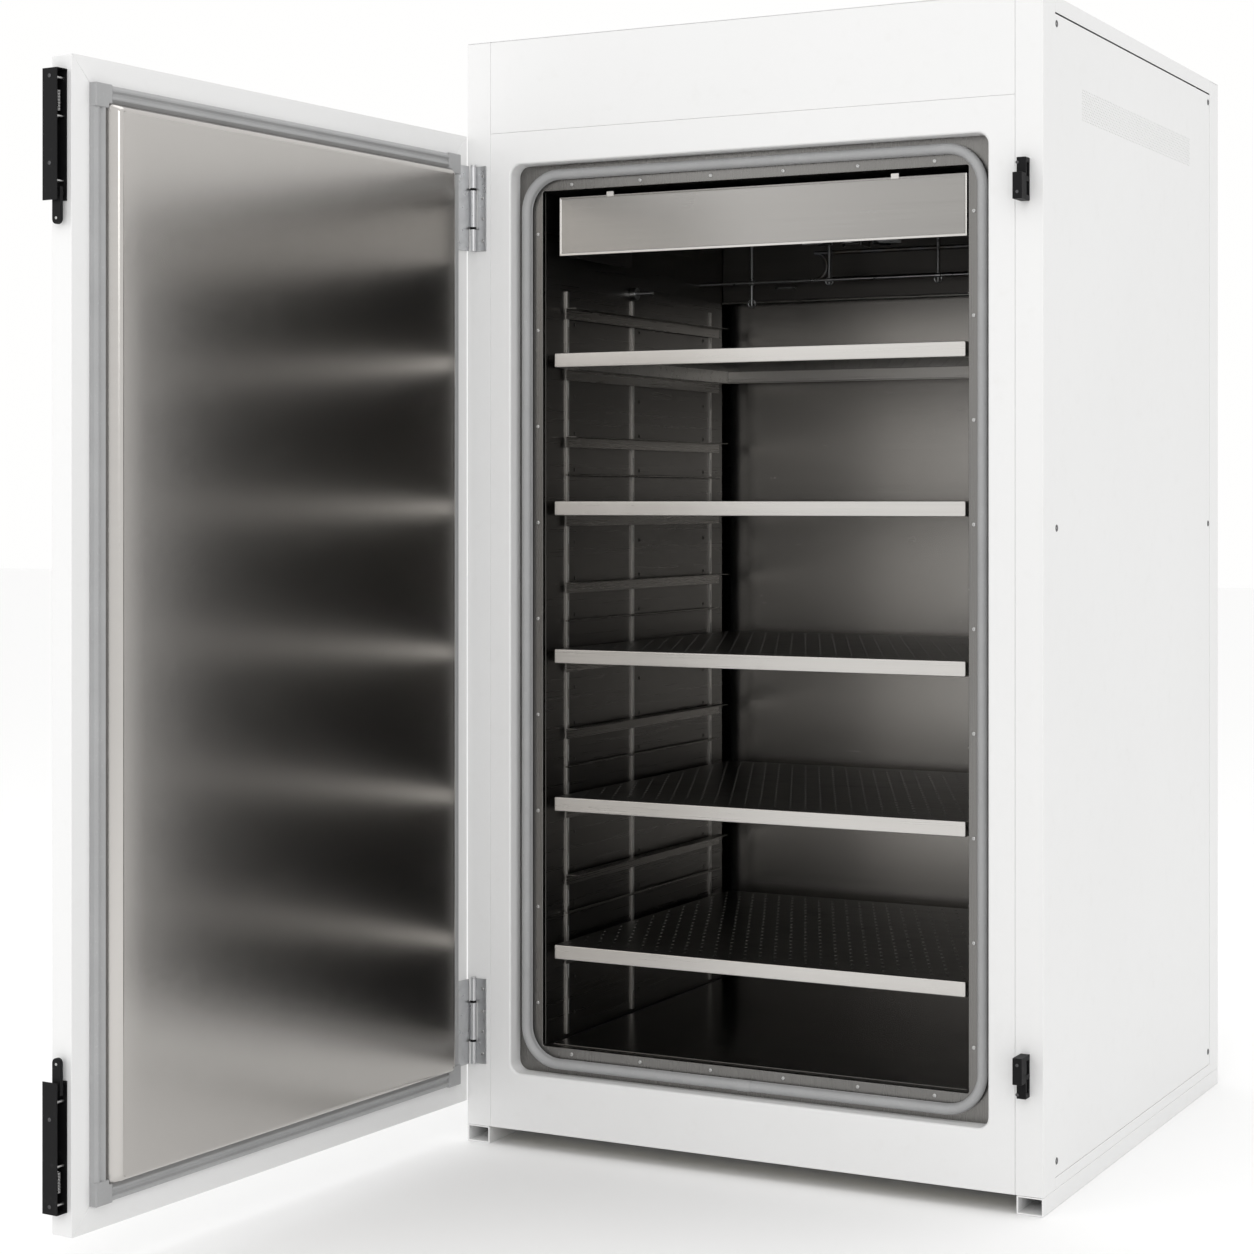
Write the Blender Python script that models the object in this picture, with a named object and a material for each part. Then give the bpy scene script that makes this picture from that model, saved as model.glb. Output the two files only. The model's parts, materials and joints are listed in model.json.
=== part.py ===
"""Tall hot-air cabinet with one insulated door, five slide-in shelves and a ceiling fan.

Metres, +Z up. The cabinet is modelled with X from its left side, Y from its front face
backwards and Z from the floor. The door stands open and turns on its left hinges. At the end
everything is moved so that the origin is under the middle of the whole object.
"""

import math

import bmesh
import bpy
from mathutils import Vector

# Overall size of the cabinet body
WIDTH = 1.092
DEPTH = 1.093
HEIGHT = 2.000

# Sheets and clearances
SKIN = 0.002
LINER = 0.0015
GAP = 0.0003

# Base, frame and covers
RUNNER_WIDTH = 0.046
RUNNER_HEIGHT = 0.031
RUNNER_WALL = 0.003
POST_WIDTH = 0.048
POST_DEPTH = 0.062
BASE_SKIRT = 0.019
ROOF_SKIRT = 0.027
FASCIA_HEIGHT = 0.168
DECK_BELOW_ROOF = 0.200

# Chamber: what lies between its mouth and the outside of the cabinet, and the rings round it
MOUTH_LEFT = 0.1365
MOUTH_RIGHT_SPACE = 0.1415
MOUTH_FLOOR = 0.1795
MOUTH_TOP_SPACE = 0.2735
CUTOUT_MARGIN = 0.0465
CUTOUT_CORNER = 0.020
COLLAR_DEPTH = 0.036
FLANGE_OVERLAP = 0.012
GASKET_MARGIN = 0.028
GASKET_RADIUS = 0.009
GASKET_CORNER = 0.065
TANK_BACK_SPACE = 0.1879
BAFFLE_SPACE = 0.0701
DUCT_SPACE = 0.020
DUCT_END_SPACE = 0.045
DUCT_RETURN = 0.015
INSULATION_SPACE = 0.0025

# Shelves, and the rails and uprights that carry them
SHELF_COUNT = 5
SHELF_LOWEST = 0.1825
SHELF_TOP_SPACE = 0.2925
SHELF_LIP = 0.026
SHELF_FRONT = 0.050
SHELF_BACK_SPACE = 0.005
SHELF_PLAY_LEFT = 0.016
SHELF_PLAY_RIGHT = 0.010
UPRIGHT_FRONT_PLACE = 0.126
UPRIGHT_MIDDLE_PLACE = 0.386
UPRIGHT_REAR_SPACE = 0.060
UPRIGHT_WIDTH = 0.010
UPRIGHT_PROUD = 0.006
UPRIGHT_BASE = 0.020
UPRIGHT_TOP_SPACE = 0.175
RAIL_FRONT = 0.110
RAIL_BACK_SPACE = 0.030
RAIL_FLANGE = 0.022
RAIL_WEB = 0.020

# Air guide, heater and fan under the chamber's ceiling
HOOD_LEFT_SPACE = 0.0265
HOOD_RIGHT_SPACE = 0.0075
HOOD_TOP_SPACE = 0.0105
HOOD_HEIGHT = 0.106
HOOD_FAN_SPACE = 0.070
COVER_SPACE = 0.003
COVER_HEIGHT = 0.155
HEATER_SPACE = 0.093
HEATER_DROP = 0.1195
HEATER_SPREAD = 0.053
HEATER_REACH = 0.592
HEATER_RADIUS = 0.00425
CROSS_ROD_SPACE = 0.016
CROSS_ROD_DROP = 0.122
CROSS_ROD_RADIUS = 0.0028
HANGER_PLACES = (0.1175, 0.2865, 0.5155)
HANGER_TAILS = (0.046, 0.008, 0.012)
FAN_SPACE = 0.290
FAN_RADIUS = 0.100
FAN_EYE_RADIUS = 0.055
FAN_HEIGHT = 0.045
FAN_DROP = 0.027
FAN_BLADES = 12
SHAFT_RADIUS = 0.006
SHAFT_PASSAGE = 0.011
MOTOR_RADIUS = 0.065
MOTOR_HEIGHT = 0.130
MOTOR_FOOT = 0.006
MOTOR_FOOT_RADIUS = 0.0845
PROBE_RADIUS = 0.012

# Controller and switchgear box on the machine deck
MODULE_LEFT = 0.163
MODULE_FRONT = 0.273
MODULE_WIDTH = 0.220
MODULE_DEPTH = 0.160
MODULE_HEIGHT = 0.090

# Door, closed: its outline, its thickness and its gap to the front face
DOOR_LEFT = 0.026
DOOR_RIGHT_SPACE = 0.042
DOOR_BOTTOM = 0.078
DOOR_TOP_SPACE = 0.172
DOOR_THICKNESS = 0.040
DOOR_GAP = 0.014
DOOR_OPEN_DEG = 93.5
FRAME_FACE = 0.048
SEAL_INSET = 0.038
SEAL_WIDTH = 0.029
SEAL_CLEARANCE = 0.0007
PAN_PAST_LEFT = 0.0065
PAN_PAST_RIGHT = 0.0015
PAN_PAST_HEIGHT = 0.0035
PAN_CLEARANCE = 0.0005

# Hinges
HINGE_BESIDE_DOOR = 0.010
HINGE_LENGTH = 0.154
HINGE_BOTTOM_SPACE = 0.066
HINGE_TOP_SPACE = 0.054
BARREL_RADIUS = 0.0055
PIN_RADIUS = 0.0025
PIN_CLEARANCE = 0.0004
LEAF = 0.0025
LEAF_CABINET = 0.024
LEAF_DOOR = 0.046
KNUCKLE_END = 0.040
KNUCKLE_SPACE = 0.001

# Latches on the door's free edge, and the keepers that their housings close over
LATCH_BOTTOM_SPACE = 0.037
LATCH_TOP_SPACE = 0.023
LATCH_LENGTH = 0.195
LATCH_WIDTH = 0.022
LATCH_DEPTH = 0.029
LATCH_SETBACK = 0.003
LATCH_WALL = 0.0015
LEVER_REACH = 0.046
LEVER_TAIL = 0.009
LEVER_THICKNESS = 0.006
LEVER_WIDTH = 0.016
LEVER_SETBACK = 0.020
LEVER_BOSS_RADIUS = 0.005
LEVER_PLAY = 0.0007
LEVER_PIVOT_RISE = 0.011
LEVER_PIN_RADIUS = 0.002
LEVER_MOUTH = 0.022
KEEPER_RISE = 0.046
KEEPER_HEIGHT = 0.070
KEEPER_DEPTH = 0.041
KEEPER_PLAY = 0.0015
KEEPER_STEP_RISE = 0.0434
KEEPER_STEP_DEPTH = 0.0205
POCKET_RISES = (0.0084, 0.0392)
POCKET_HEIGHT = 0.0224
POCKET_LENGTH = 0.0123
POCKET_DEPTH = 0.004

# Worked out from the sizes above
MOUTH_RIGHT = WIDTH - MOUTH_RIGHT_SPACE
MOUTH_TOP = HEIGHT - MOUTH_TOP_SPACE
FLANGE_FRONT = COLLAR_DEPTH + GAP
FLANGE_BACK = FLANGE_FRONT + LINER
CHAMBER_FRONT = FLANGE_BACK + GAP
GASKET_FRONT = FLANGE_FRONT - GAP - 2 * GASKET_RADIUS
TANK_LEFT = MOUTH_LEFT - DUCT_SPACE
TANK_RIGHT = MOUTH_RIGHT + DUCT_SPACE
TANK_BACK = DEPTH - TANK_BACK_SPACE
BAFFLE_PLACE = TANK_BACK - BAFFLE_SPACE
DUCT_WALL_END = BAFFLE_PLACE - DUCT_END_SPACE
SHELF_BACK = DUCT_WALL_END - SHELF_BACK_SPACE
RAIL_BACK = DUCT_WALL_END - RAIL_BACK_SPACE
SHELF_HIGHEST = MOUTH_TOP - SHELF_TOP_SPACE
SHELF_PITCH = (SHELF_HIGHEST - MOUTH_FLOOR - SHELF_LOWEST) / (SHELF_COUNT - 1)
UPRIGHT_PLACES = (
    UPRIGHT_FRONT_PLACE, UPRIGHT_MIDDLE_PLACE, DUCT_WALL_END - UPRIGHT_REAR_SPACE,
)
UPRIGHT_LOW = MOUTH_FLOOR + UPRIGHT_BASE
UPRIGHT_TOP = MOUTH_TOP - UPRIGHT_TOP_SPACE
COVER_PLACE = DUCT_WALL_END + COVER_SPACE
HEATER_PLACE = COVER_PLACE - HEATER_SPACE
CROSS_ROD_PLACE = HEATER_PLACE - CROSS_ROD_SPACE
FAN_PLACE = DUCT_WALL_END - FAN_SPACE
HOOD_BACK = FAN_PLACE - FAN_RADIUS - HOOD_FAN_SPACE
DECK_UNDER = HEIGHT - DECK_BELOW_ROOF
MIDDLE_X = (MOUTH_LEFT + MOUTH_RIGHT) / 2
BASE_TOP = RUNNER_HEIGHT + GAP
ROOF_UNDER = HEIGHT - SKIN
DOOR_RIGHT = WIDTH - DOOR_RIGHT_SPACE
DOOR_TOP = HEIGHT - DOOR_TOP_SPACE
DOOR_INNER = -DOOR_GAP
DOOR_OUTER = -DOOR_GAP - DOOR_THICKNESS
HINGE_X = DOOR_LEFT - HINGE_BESIDE_DOOR
HINGE_Y = -DOOR_GAP / 2
HINGE_RISES = (
    DOOR_BOTTOM + HINGE_BOTTOM_SPACE, DOOR_TOP - HINGE_TOP_SPACE - HINGE_LENGTH,
)
LATCH_RISES = (
    DOOR_BOTTOM + LATCH_BOTTOM_SPACE, DOOR_TOP - LATCH_TOP_SPACE - LATCH_LENGTH,
)

FINISHES = {
    "white_paint": ((0.86, 0.87, 0.87), 0.42, 0.0),
    "stainless": ((0.56, 0.54, 0.51), 0.32, 1.0),
    "zinc": ((0.62, 0.63, 0.64), 0.35, 1.0),
    "seal_grey": ((0.25, 0.26, 0.28), 0.55, 0.0),
    "black_plastic": ((0.013, 0.013, 0.014), 0.45, 0.0),
    "heater_steel": ((0.20, 0.18, 0.16), 0.45, 1.0),
    "mineral_wool": ((0.55, 0.50, 0.36), 0.95, 0.0),
    "motor_grey": ((0.12, 0.13, 0.14), 0.50, 0.3),
    "controller_grey": ((0.30, 0.31, 0.32), 0.50, 0.0),
}


# Scene, collections and materials


def clear_scene():
    for thing in list(bpy.data.objects):
        bpy.data.objects.remove(thing, do_unlink=True)


def new_collection(name, hidden=False):
    collection = bpy.data.collections.new(name)
    bpy.context.scene.collection.children.link(collection)
    collection.hide_render = hidden
    return collection


def new_finish(name):
    colour, roughness, metallic = FINISHES[name]
    finish = bpy.data.materials.new(name)
    finish.use_nodes = True
    shader = finish.node_tree.nodes["Principled BSDF"]
    shader.inputs["Base Color"].default_value = (*colour, 1.0)
    shader.inputs["Roughness"].default_value = roughness
    shader.inputs["Metallic"].default_value = metallic
    finish.diffuse_color = (*colour, 1.0)
    return finish


def move_to(thing, collection):
    for holder in list(thing.users_collection):
        holder.objects.unlink(thing)
    collection.objects.link(thing)


# Shapes


def block(low, high):
    """A box between two corners, with its origin in its middle."""
    low, high = Vector(low), Vector(high)
    bpy.ops.mesh.primitive_cube_add(size=1, location=(low + high) / 2)
    thing = bpy.context.object
    thing.scale = high - low
    bpy.ops.object.transform_apply(location=False, rotation=False, scale=True)
    return thing


def rounded_block(low, high, radius, segments=5):
    """A box whose four edges along Y are round."""
    thing = block(low, high)
    mesh = bmesh.new()
    mesh.from_mesh(thing.data)
    along_y = []
    for edge in mesh.edges:
        run = edge.verts[0].co - edge.verts[1].co
        if abs(run.x) < 1e-6 and abs(run.z) < 1e-6:
            along_y.append(edge)
    bmesh.ops.bevel(
        mesh, geom=along_y, offset=radius, segments=segments, profile=0.5, affect="EDGES"
    )
    mesh.to_mesh(thing.data)
    mesh.free()
    return thing


TURNS = {"X": (0, math.pi / 2, 0), "Y": (math.pi / 2, 0, 0), "Z": (0, 0, 0)}


def cylinder(low, length, radius, axis="Z", sides=24):
    """A round bar that starts at low and runs along an axis."""
    step = Vector([float(axis == letter) for letter in "XYZ"])
    bpy.ops.mesh.primitive_cylinder_add(
        vertices=sides,
        radius=radius,
        depth=length,
        location=Vector(low) + step * length / 2,
        rotation=TURNS[axis],
    )
    thing = bpy.context.object
    bpy.ops.object.transform_apply(location=False, rotation=True, scale=False)
    thing.data.shade_smooth()
    thing.data.set_sharp_from_angle(angle=math.radians(40))
    return thing


def tube(points, radius, closed=False):
    """A round tube along points, with closed ends, or a ring."""
    curve = bpy.data.curves.new("tube", "CURVE")
    curve.dimensions = "3D"
    curve.bevel_depth = radius
    curve.bevel_resolution = 2
    curve.use_fill_caps = not closed
    spline = curve.splines.new("POLY")
    spline.points.add(len(points) - 1)
    for point, place in zip(spline.points, points, strict=True):
        point.co = (*place, 1)
    spline.use_cyclic_u = closed
    thing = bpy.data.objects.new("tube", curve)
    bpy.context.scene.collection.objects.link(thing)
    return thing


def arc(centre, radius, start_deg, end_deg, steps, place):
    """Points round a centre in the XZ plane at Y = place."""
    points = []
    for step in range(steps + 1):
        turn = math.radians(start_deg + (end_deg - start_deg) * step / steps)
        x = centre[0] + radius * math.cos(turn)
        z = centre[1] + radius * math.sin(turn)
        points.append((x, place, z))
    return points


def boolean(thing, other, operation):
    change = thing.modifiers.new(operation.lower(), "BOOLEAN")
    change.operation = operation
    change.object = other
    return change


class Workshop:
    """Keeps the finishes and collections, and names each finished piece."""

    def __init__(self):
        self.parts = new_collection("hot_air_cabinet")
        self.cutters = new_collection("cutters", hidden=True)
        self.finishes = {name: new_finish(name) for name in FINISHES}

    def keep(self, thing, name, finish):
        thing.name = name
        thing.data.name = name
        thing.data.materials.clear()
        thing.data.materials.append(self.finishes[finish])
        move_to(thing, self.parts)
        return thing

    def helper(self, thing):
        move_to(thing, self.cutters)
        thing.display_type = "WIRE"
        thing.hide_render = True
        return thing

    def cut(self, thing, *others):
        for other in others:
            boolean(thing, self.helper(other), "DIFFERENCE")
        return thing

    def join(self, thing, *others):
        for other in others:
            boolean(thing, self.helper(other), "UNION")
        return thing


def set_origin(thing, place):
    """Puts an object's origin at place and leaves its shape where it is."""
    shift = Vector(place) - thing.location
    for vertex in thing.data.vertices:
        vertex.co -= shift
    thing.location = place


def mirrored(side, left, right):
    """The X range of a piece: as given on the left, or its mirror image on the right."""
    if side == "left":
        return left, right
    return WIDTH - right, WIDTH - left


# Base, frame and covers


def base_runner(shop, side):
    left, right = mirrored(side, 0.0, RUNNER_WIDTH)
    runner = block((left, 0, 0), (right, DEPTH, RUNNER_HEIGHT))
    inside = block(
        (left + RUNNER_WALL, -RUNNER_WIDTH, RUNNER_WALL),
        (right - RUNNER_WALL, DEPTH + RUNNER_WIDTH, RUNNER_HEIGHT - RUNNER_WALL),
    )
    shop.cut(runner, inside)
    return shop.keep(runner, f"base_runner_{side}", "white_paint")


def corner_post(shop, side, end):
    """A folded angle of sheet: its two outer faces are part of the cabinet's outside."""
    left, right = mirrored(side, 0.0, POST_WIDTH)
    front, back = (0.0, POST_DEPTH) if end == "front" else (DEPTH - POST_DEPTH, DEPTH)
    post = block((left, front, BASE_TOP), (right, back, ROOF_UNDER - GAP))
    x_shift = SKIN if side == "left" else -SKIN
    y_shift = SKIN if end == "front" else -SKIN
    inside = block(
        (left + x_shift, front + y_shift, 0),
        (right + x_shift, back + y_shift, HEIGHT + SKIN),
    )
    shop.cut(post, inside)
    return shop.keep(post, f"corner_post_{end}_{side}", "white_paint")


def base_pan(shop):
    front, back = POST_DEPTH + GAP, DEPTH - POST_DEPTH - GAP
    pan = block((0, front, BASE_TOP), (WIDTH, back, RUNNER_HEIGHT + BASE_SKIRT))
    inside = block(
        (SKIN, 0, BASE_TOP + SKIN), (WIDTH - SKIN, DEPTH, RUNNER_HEIGHT + 2 * BASE_SKIRT)
    )
    shop.cut(pan, inside)
    return shop.keep(pan, "base_pan", "white_paint")


def roof_panel(shop):
    roof = block((0, 0, ROOF_UNDER), (WIDTH, DEPTH, HEIGHT))
    for side in ("left", "right"):
        left, right = mirrored(side, 0.0, SKIN)
        skirt = block(
            (left, POST_DEPTH + GAP, HEIGHT - ROOF_SKIRT),
            (right, DEPTH - POST_DEPTH - GAP, HEIGHT - SKIN / 2),
        )
        shop.join(roof, skirt)
    return shop.keep(roof, "roof_panel", "white_paint")


def mouth_block(margin, front, back, radius=0.0):
    """A block around the chamber's mouth, larger than it by margin on every side."""
    low = (MOUTH_LEFT - margin, front, MOUTH_FLOOR - margin)
    high = (MOUTH_RIGHT + margin, back, MOUTH_TOP + margin)
    if radius:
        return rounded_block(low, high, radius)
    return block(low, high)


def front_panel(shop):
    """The front sheet, whose cut-out is folded back all round as a collar."""
    left, right = POST_WIDTH + GAP, WIDTH - POST_WIDTH - GAP
    panel = block((left, 0, BASE_TOP), (right, SKIN, HEIGHT - FASCIA_HEIGHT - GAP))
    collar = mouth_block(CUTOUT_MARGIN + SKIN, SKIN / 2, COLLAR_DEPTH, CUTOUT_CORNER + SKIN)
    hole = mouth_block(CUTOUT_MARGIN, -SKIN, COLLAR_DEPTH + SKIN, CUTOUT_CORNER)
    shop.join(panel, collar)
    shop.cut(panel, hole)
    return shop.keep(panel, "front_panel", "white_paint")


def fascia_panel(shop):
    left, right = POST_WIDTH + GAP, WIDTH - POST_WIDTH - GAP
    panel = block((left, 0, HEIGHT - FASCIA_HEIGHT), (right, SKIN, ROOF_UNDER - GAP))
    return shop.keep(panel, "fascia_panel", "white_paint")


def back_panel(shop):
    left, right = POST_WIDTH + GAP, WIDTH - POST_WIDTH - GAP
    panel = block((left, DEPTH - SKIN, BASE_TOP), (right, DEPTH, ROOF_UNDER - GAP))
    return shop.keep(panel, "back_panel", "white_paint")


def side_panel(shop, side):
    left, right = mirrored(side, 0.0, SKIN)
    panel = block(
        (left, POST_DEPTH + GAP, RUNNER_HEIGHT + BASE_SKIRT + GAP),
        (right, DEPTH - POST_DEPTH - GAP, HEIGHT - ROOF_SKIRT - GAP),
    )
    return shop.keep(panel, f"side_panel_{side}", "white_paint")


def machine_deck(shop):
    inset = 2 * SKIN + GAP
    deck = block(
        (inset, SKIN + GAP, DECK_UNDER),
        (WIDTH - inset, DEPTH - SKIN - GAP, DECK_UNDER + SKIN),
    )
    shop.cut(deck, shaft_passage(DECK_UNDER))
    return shop.keep(deck, "machine_deck", "zinc")


# Chamber


def shaft_passage(height):
    """A round hole's cutter, for the fan shaft to pass a sheet at this height."""
    low = (MIDDLE_X, FAN_PLACE, height - SHAFT_PASSAGE)
    return cylinder(low, 2 * SHAFT_PASSAGE, SHAFT_PASSAGE)


def insulation_wrap(shop):
    inset = SKIN + INSULATION_SPACE
    bottom, top = BASE_TOP + SKIN + GAP, DECK_UNDER - GAP
    wool = block(
        (inset, CHAMBER_FRONT, bottom), (WIDTH - inset, DEPTH - inset, top)
    )
    around = LINER + GAP
    inside = block(
        (TANK_LEFT - around, 0, MOUTH_FLOOR - around),
        (TANK_RIGHT + around, TANK_BACK + around, MOUTH_TOP + around),
    )
    above = cylinder((MIDDLE_X, FAN_PLACE, MOUTH_TOP), top - MOUTH_TOP + SKIN, SHAFT_PASSAGE)
    shop.cut(wool, inside, above)
    return shop.keep(wool, "insulation_wrap", "mineral_wool")


def chamber_tank(shop):
    """The welded inner tank, open at the front."""
    tank = block(
        (TANK_LEFT - LINER, CHAMBER_FRONT, MOUTH_FLOOR - LINER),
        (TANK_RIGHT + LINER, TANK_BACK, MOUTH_TOP + LINER),
    )
    inside = block(
        (TANK_LEFT, 0, MOUTH_FLOOR), (TANK_RIGHT, TANK_BACK - LINER, MOUTH_TOP)
    )
    shop.cut(tank, inside, shaft_passage(MOUTH_TOP))
    return shop.keep(tank, "chamber_tank", "stainless")


def seal_flange(shop):
    flange = mouth_block(CUTOUT_MARGIN + FLANGE_OVERLAP, FLANGE_FRONT, FLANGE_BACK)
    shop.cut(flange, mouth_block(0.0, 0, 2 * FLANGE_BACK))
    return shop.keep(flange, "seal_flange", "stainless")


def chamber_gasket(shop):
    place = FLANGE_FRONT - GAP - GASKET_RADIUS
    left = MOUTH_LEFT - GASKET_MARGIN + GASKET_CORNER
    right = MOUTH_RIGHT + GASKET_MARGIN - GASKET_CORNER
    bottom = MOUTH_FLOOR - GASKET_MARGIN + GASKET_CORNER
    top = MOUTH_TOP + GASKET_MARGIN - GASKET_CORNER
    points = []
    corners = ((right, bottom, 270), (right, top, 0), (left, top, 90), (left, bottom, 180))
    for x, z, start in corners:
        points += arc((x, z), GASKET_CORNER, start, start + 90, 5, place)
    ring = tube(points, GASKET_RADIUS, closed=True)
    return shop.keep(ring, "chamber_gasket", "seal_grey")


def side_span(side, low, high):
    """An X range measured from a chamber side wall's inner face, inwards positive."""
    if side == "left":
        return MOUTH_LEFT + low, MOUTH_LEFT + high
    return MOUTH_RIGHT - high, MOUTH_RIGHT - low


def side_duct(shop, side):
    """A side wall of the chamber, with the uprights that carry the shelf rails."""
    floor, top = MOUTH_FLOOR + GAP, MOUTH_TOP - GAP
    left, right = side_span(side, -LINER, 0.0)
    wall = block((left, CHAMBER_FRONT + GAP, floor), (right, DUCT_WALL_END, top))
    left, right = side_span(side, -DUCT_RETURN, -LINER / 2)
    shop.join(wall, block((left, DUCT_WALL_END - LINER, floor), (right, DUCT_WALL_END, top)))
    left, right = side_span(side, -LINER / 2, UPRIGHT_PROUD)
    for place in UPRIGHT_PLACES:
        front, back = place - UPRIGHT_WIDTH / 2, place + UPRIGHT_WIDTH / 2
        shop.join(wall, block((left, front, UPRIGHT_LOW), (right, back, UPRIGHT_TOP)))
    return shop.keep(wall, f"side_duct_{side}", "stainless")


def rear_baffle(shop):
    baffle = block(
        (MOUTH_LEFT, BAFFLE_PLACE, MOUTH_FLOOR + GAP),
        (MOUTH_RIGHT, BAFFLE_PLACE + LINER, MOUTH_TOP - GAP),
    )
    return shop.keep(baffle, "rear_baffle", "stainless")


# Shelves


def shelf_top(number):
    """The height of a shelf's upper face; shelf 1 is the lowest."""
    return MOUTH_FLOOR + SHELF_LOWEST + SHELF_PITCH * (number - 1)


def shelf(shop, number):
    left = MOUTH_LEFT + SHELF_PLAY_LEFT
    right = MOUTH_RIGHT - SHELF_PLAY_RIGHT
    top = shelf_top(number)
    tray = block((left, SHELF_FRONT, top - SHELF_LIP), (right, SHELF_BACK, top))
    under = block(
        (left + LINER, SHELF_FRONT + LINER, top - 2 * SHELF_LIP),
        (right - LINER, SHELF_BACK - LINER, top - LINER),
    )
    shop.cut(tray, under)
    return shop.keep(tray, f"shelf_{number}", "stainless")


def shelf_rail(shop, number, side):
    """An angle clipped to the uprights: its flange carries a shelf's side lip."""
    top = shelf_top(number) - SHELF_LIP - GAP
    start = UPRIGHT_PROUD + GAP
    left, right = side_span(side, start, start + RAIL_FLANGE)
    rail = block((left, RAIL_FRONT, top - LINER), (right, RAIL_BACK, top))
    left, right = side_span(side, start, start + LINER)
    web = block((left, RAIL_FRONT, top - RAIL_WEB), (right, RAIL_BACK, top - LINER / 2))
    shop.join(rail, web)
    return shop.keep(rail, f"shelf_rail_{number}_{side}", "stainless")


# Air guide, heater and fan


def air_hood(shop):
    """The box that guides the air at the top of the mouth: open below and behind."""
    left, right = MOUTH_LEFT + HOOD_LEFT_SPACE, MOUTH_RIGHT - HOOD_RIGHT_SPACE
    top = MOUTH_TOP - HOOD_TOP_SPACE
    hood = block((left, SHELF_FRONT, top - HOOD_HEIGHT), (right, HOOD_BACK, top))
    inside = block(
        (left + LINER, SHELF_FRONT + LINER, top - 2 * HOOD_HEIGHT),
        (right - LINER, HOOD_BACK + LINER, top - LINER),
    )
    shop.cut(hood, inside)
    return shop.keep(hood, "air_hood", "stainless")


def fan_cover(shop):
    cover = block(
        (MOUTH_LEFT + LINER, COVER_PLACE, MOUTH_TOP - COVER_HEIGHT),
        (MOUTH_RIGHT - LINER, COVER_PLACE + LINER, MOUTH_TOP - GAP),
    )
    return shop.keep(cover, "fan_cover", "heater_steel")


def heater_element(shop):
    """A hairpin of sheathed heating rod, in an upright plane."""
    end = MOUTH_RIGHT - GAP
    low = MOUTH_TOP - HEATER_DROP
    bend = end - HEATER_REACH + HEATER_SPREAD / 2
    points = [(end, HEATER_PLACE, low), ((end + bend) / 2, HEATER_PLACE, low)]
    centre = (bend, low + HEATER_SPREAD / 2)
    points += arc(centre, HEATER_SPREAD / 2, 270, 90, 10, HEATER_PLACE)
    points += [((end + bend) / 2, HEATER_PLACE, low + HEATER_SPREAD)]
    points += [(end, HEATER_PLACE, low + HEATER_SPREAD)]
    return shop.keep(tube(points, HEATER_RADIUS), "heater_element", "heater_steel")


def heater_support(shop):
    """A cross rod hung from the ceiling on three rods."""
    height = MOUTH_TOP - CROSS_ROD_DROP
    length = MOUTH_RIGHT - MOUTH_LEFT - 2 * GAP
    frame = cylinder(
        (MOUTH_LEFT + GAP, CROSS_ROD_PLACE, height), length, CROSS_ROD_RADIUS, "X", 10
    )
    for place, tail in zip(HANGER_PLACES, HANGER_TAILS, strict=True):
        low = (MOUTH_LEFT + place, CROSS_ROD_PLACE, height - tail)
        reach = CROSS_ROD_DROP + tail - GAP
        shop.join(frame, cylinder(low, reach, CROSS_ROD_RADIUS, "Z", 10))
    return shop.keep(frame, "heater_support", "heater_steel")


def fan_impeller(shop):
    """The fan wheel and its shaft, which reaches up into the motor."""
    top = MOUTH_TOP - FAN_DROP
    low = top - FAN_HEIGHT
    shaft_end = DECK_UNDER + SKIN + MOTOR_HEIGHT / 2 - 2 * SHAFT_RADIUS
    wheel = cylinder((MIDDLE_X, FAN_PLACE, top - SKIN), SKIN, FAN_RADIUS)
    shaft = cylinder((MIDDLE_X, FAN_PLACE, low), shaft_end - low, SHAFT_RADIUS, sides=16)
    hub = cylinder((MIDDLE_X, FAN_PLACE, low), FAN_HEIGHT - SKIN / 2, 3 * SHAFT_RADIUS)
    shop.join(wheel, hub, shaft)
    for number in range(FAN_BLADES):
        blade = block(
            (FAN_EYE_RADIUS, -SKIN / 2, low - top + SKIN),
            (FAN_RADIUS - SKIN, SKIN / 2, -SKIN / 2),
        )
        turn = math.tau * number / FAN_BLADES
        set_origin(blade, (0, 0, 0))
        blade.location = (MIDDLE_X, FAN_PLACE, top)
        blade.rotation_euler = (0, 0, turn)
        shop.join(wheel, blade)
    return shop.keep(wheel, "fan_impeller", "zinc")


def fan_motor(shop):
    base = DECK_UNDER + SKIN + GAP
    motor = cylinder((MIDDLE_X, FAN_PLACE, base), MOTOR_HEIGHT, MOTOR_RADIUS)
    foot = cylinder((MIDDLE_X, FAN_PLACE, base), MOTOR_FOOT, MOTOR_FOOT_RADIUS)
    bore_radius = SHAFT_RADIUS + PIN_CLEARANCE
    bore = cylinder(
        (MIDDLE_X, FAN_PLACE, base - SKIN), MOTOR_HEIGHT / 2 + SKIN, bore_radius, sides=16
    )
    shop.join(motor, foot)
    shop.cut(motor, bore)
    return shop.keep(motor, "fan_motor", "motor_grey")


def temperature_probe(shop):
    """A round head on the left wall, above its middle upright, with a short tip."""
    height = UPRIGHT_TOP + PROBE_RADIUS + SKIN
    start = (MOUTH_LEFT + GAP, UPRIGHT_MIDDLE_PLACE, height)
    head = cylinder(start, PROBE_RADIUS, PROBE_RADIUS, "X", 16)
    shop.join(head, cylinder(start, 4 * PROBE_RADIUS, PROBE_RADIUS / 4, "X", 10))
    return shop.keep(head, "temperature_probe", "zinc")


def power_module(shop):
    """The controller and switchgear box on the machine deck."""
    base = DECK_UNDER + SKIN + GAP
    low = Vector((MODULE_LEFT, MODULE_FRONT, base))
    high = low + Vector((MODULE_WIDTH, MODULE_DEPTH, MODULE_HEIGHT))
    return shop.keep(block(low, high), "power_module", "controller_grey")


# Door, modelled closed


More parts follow.
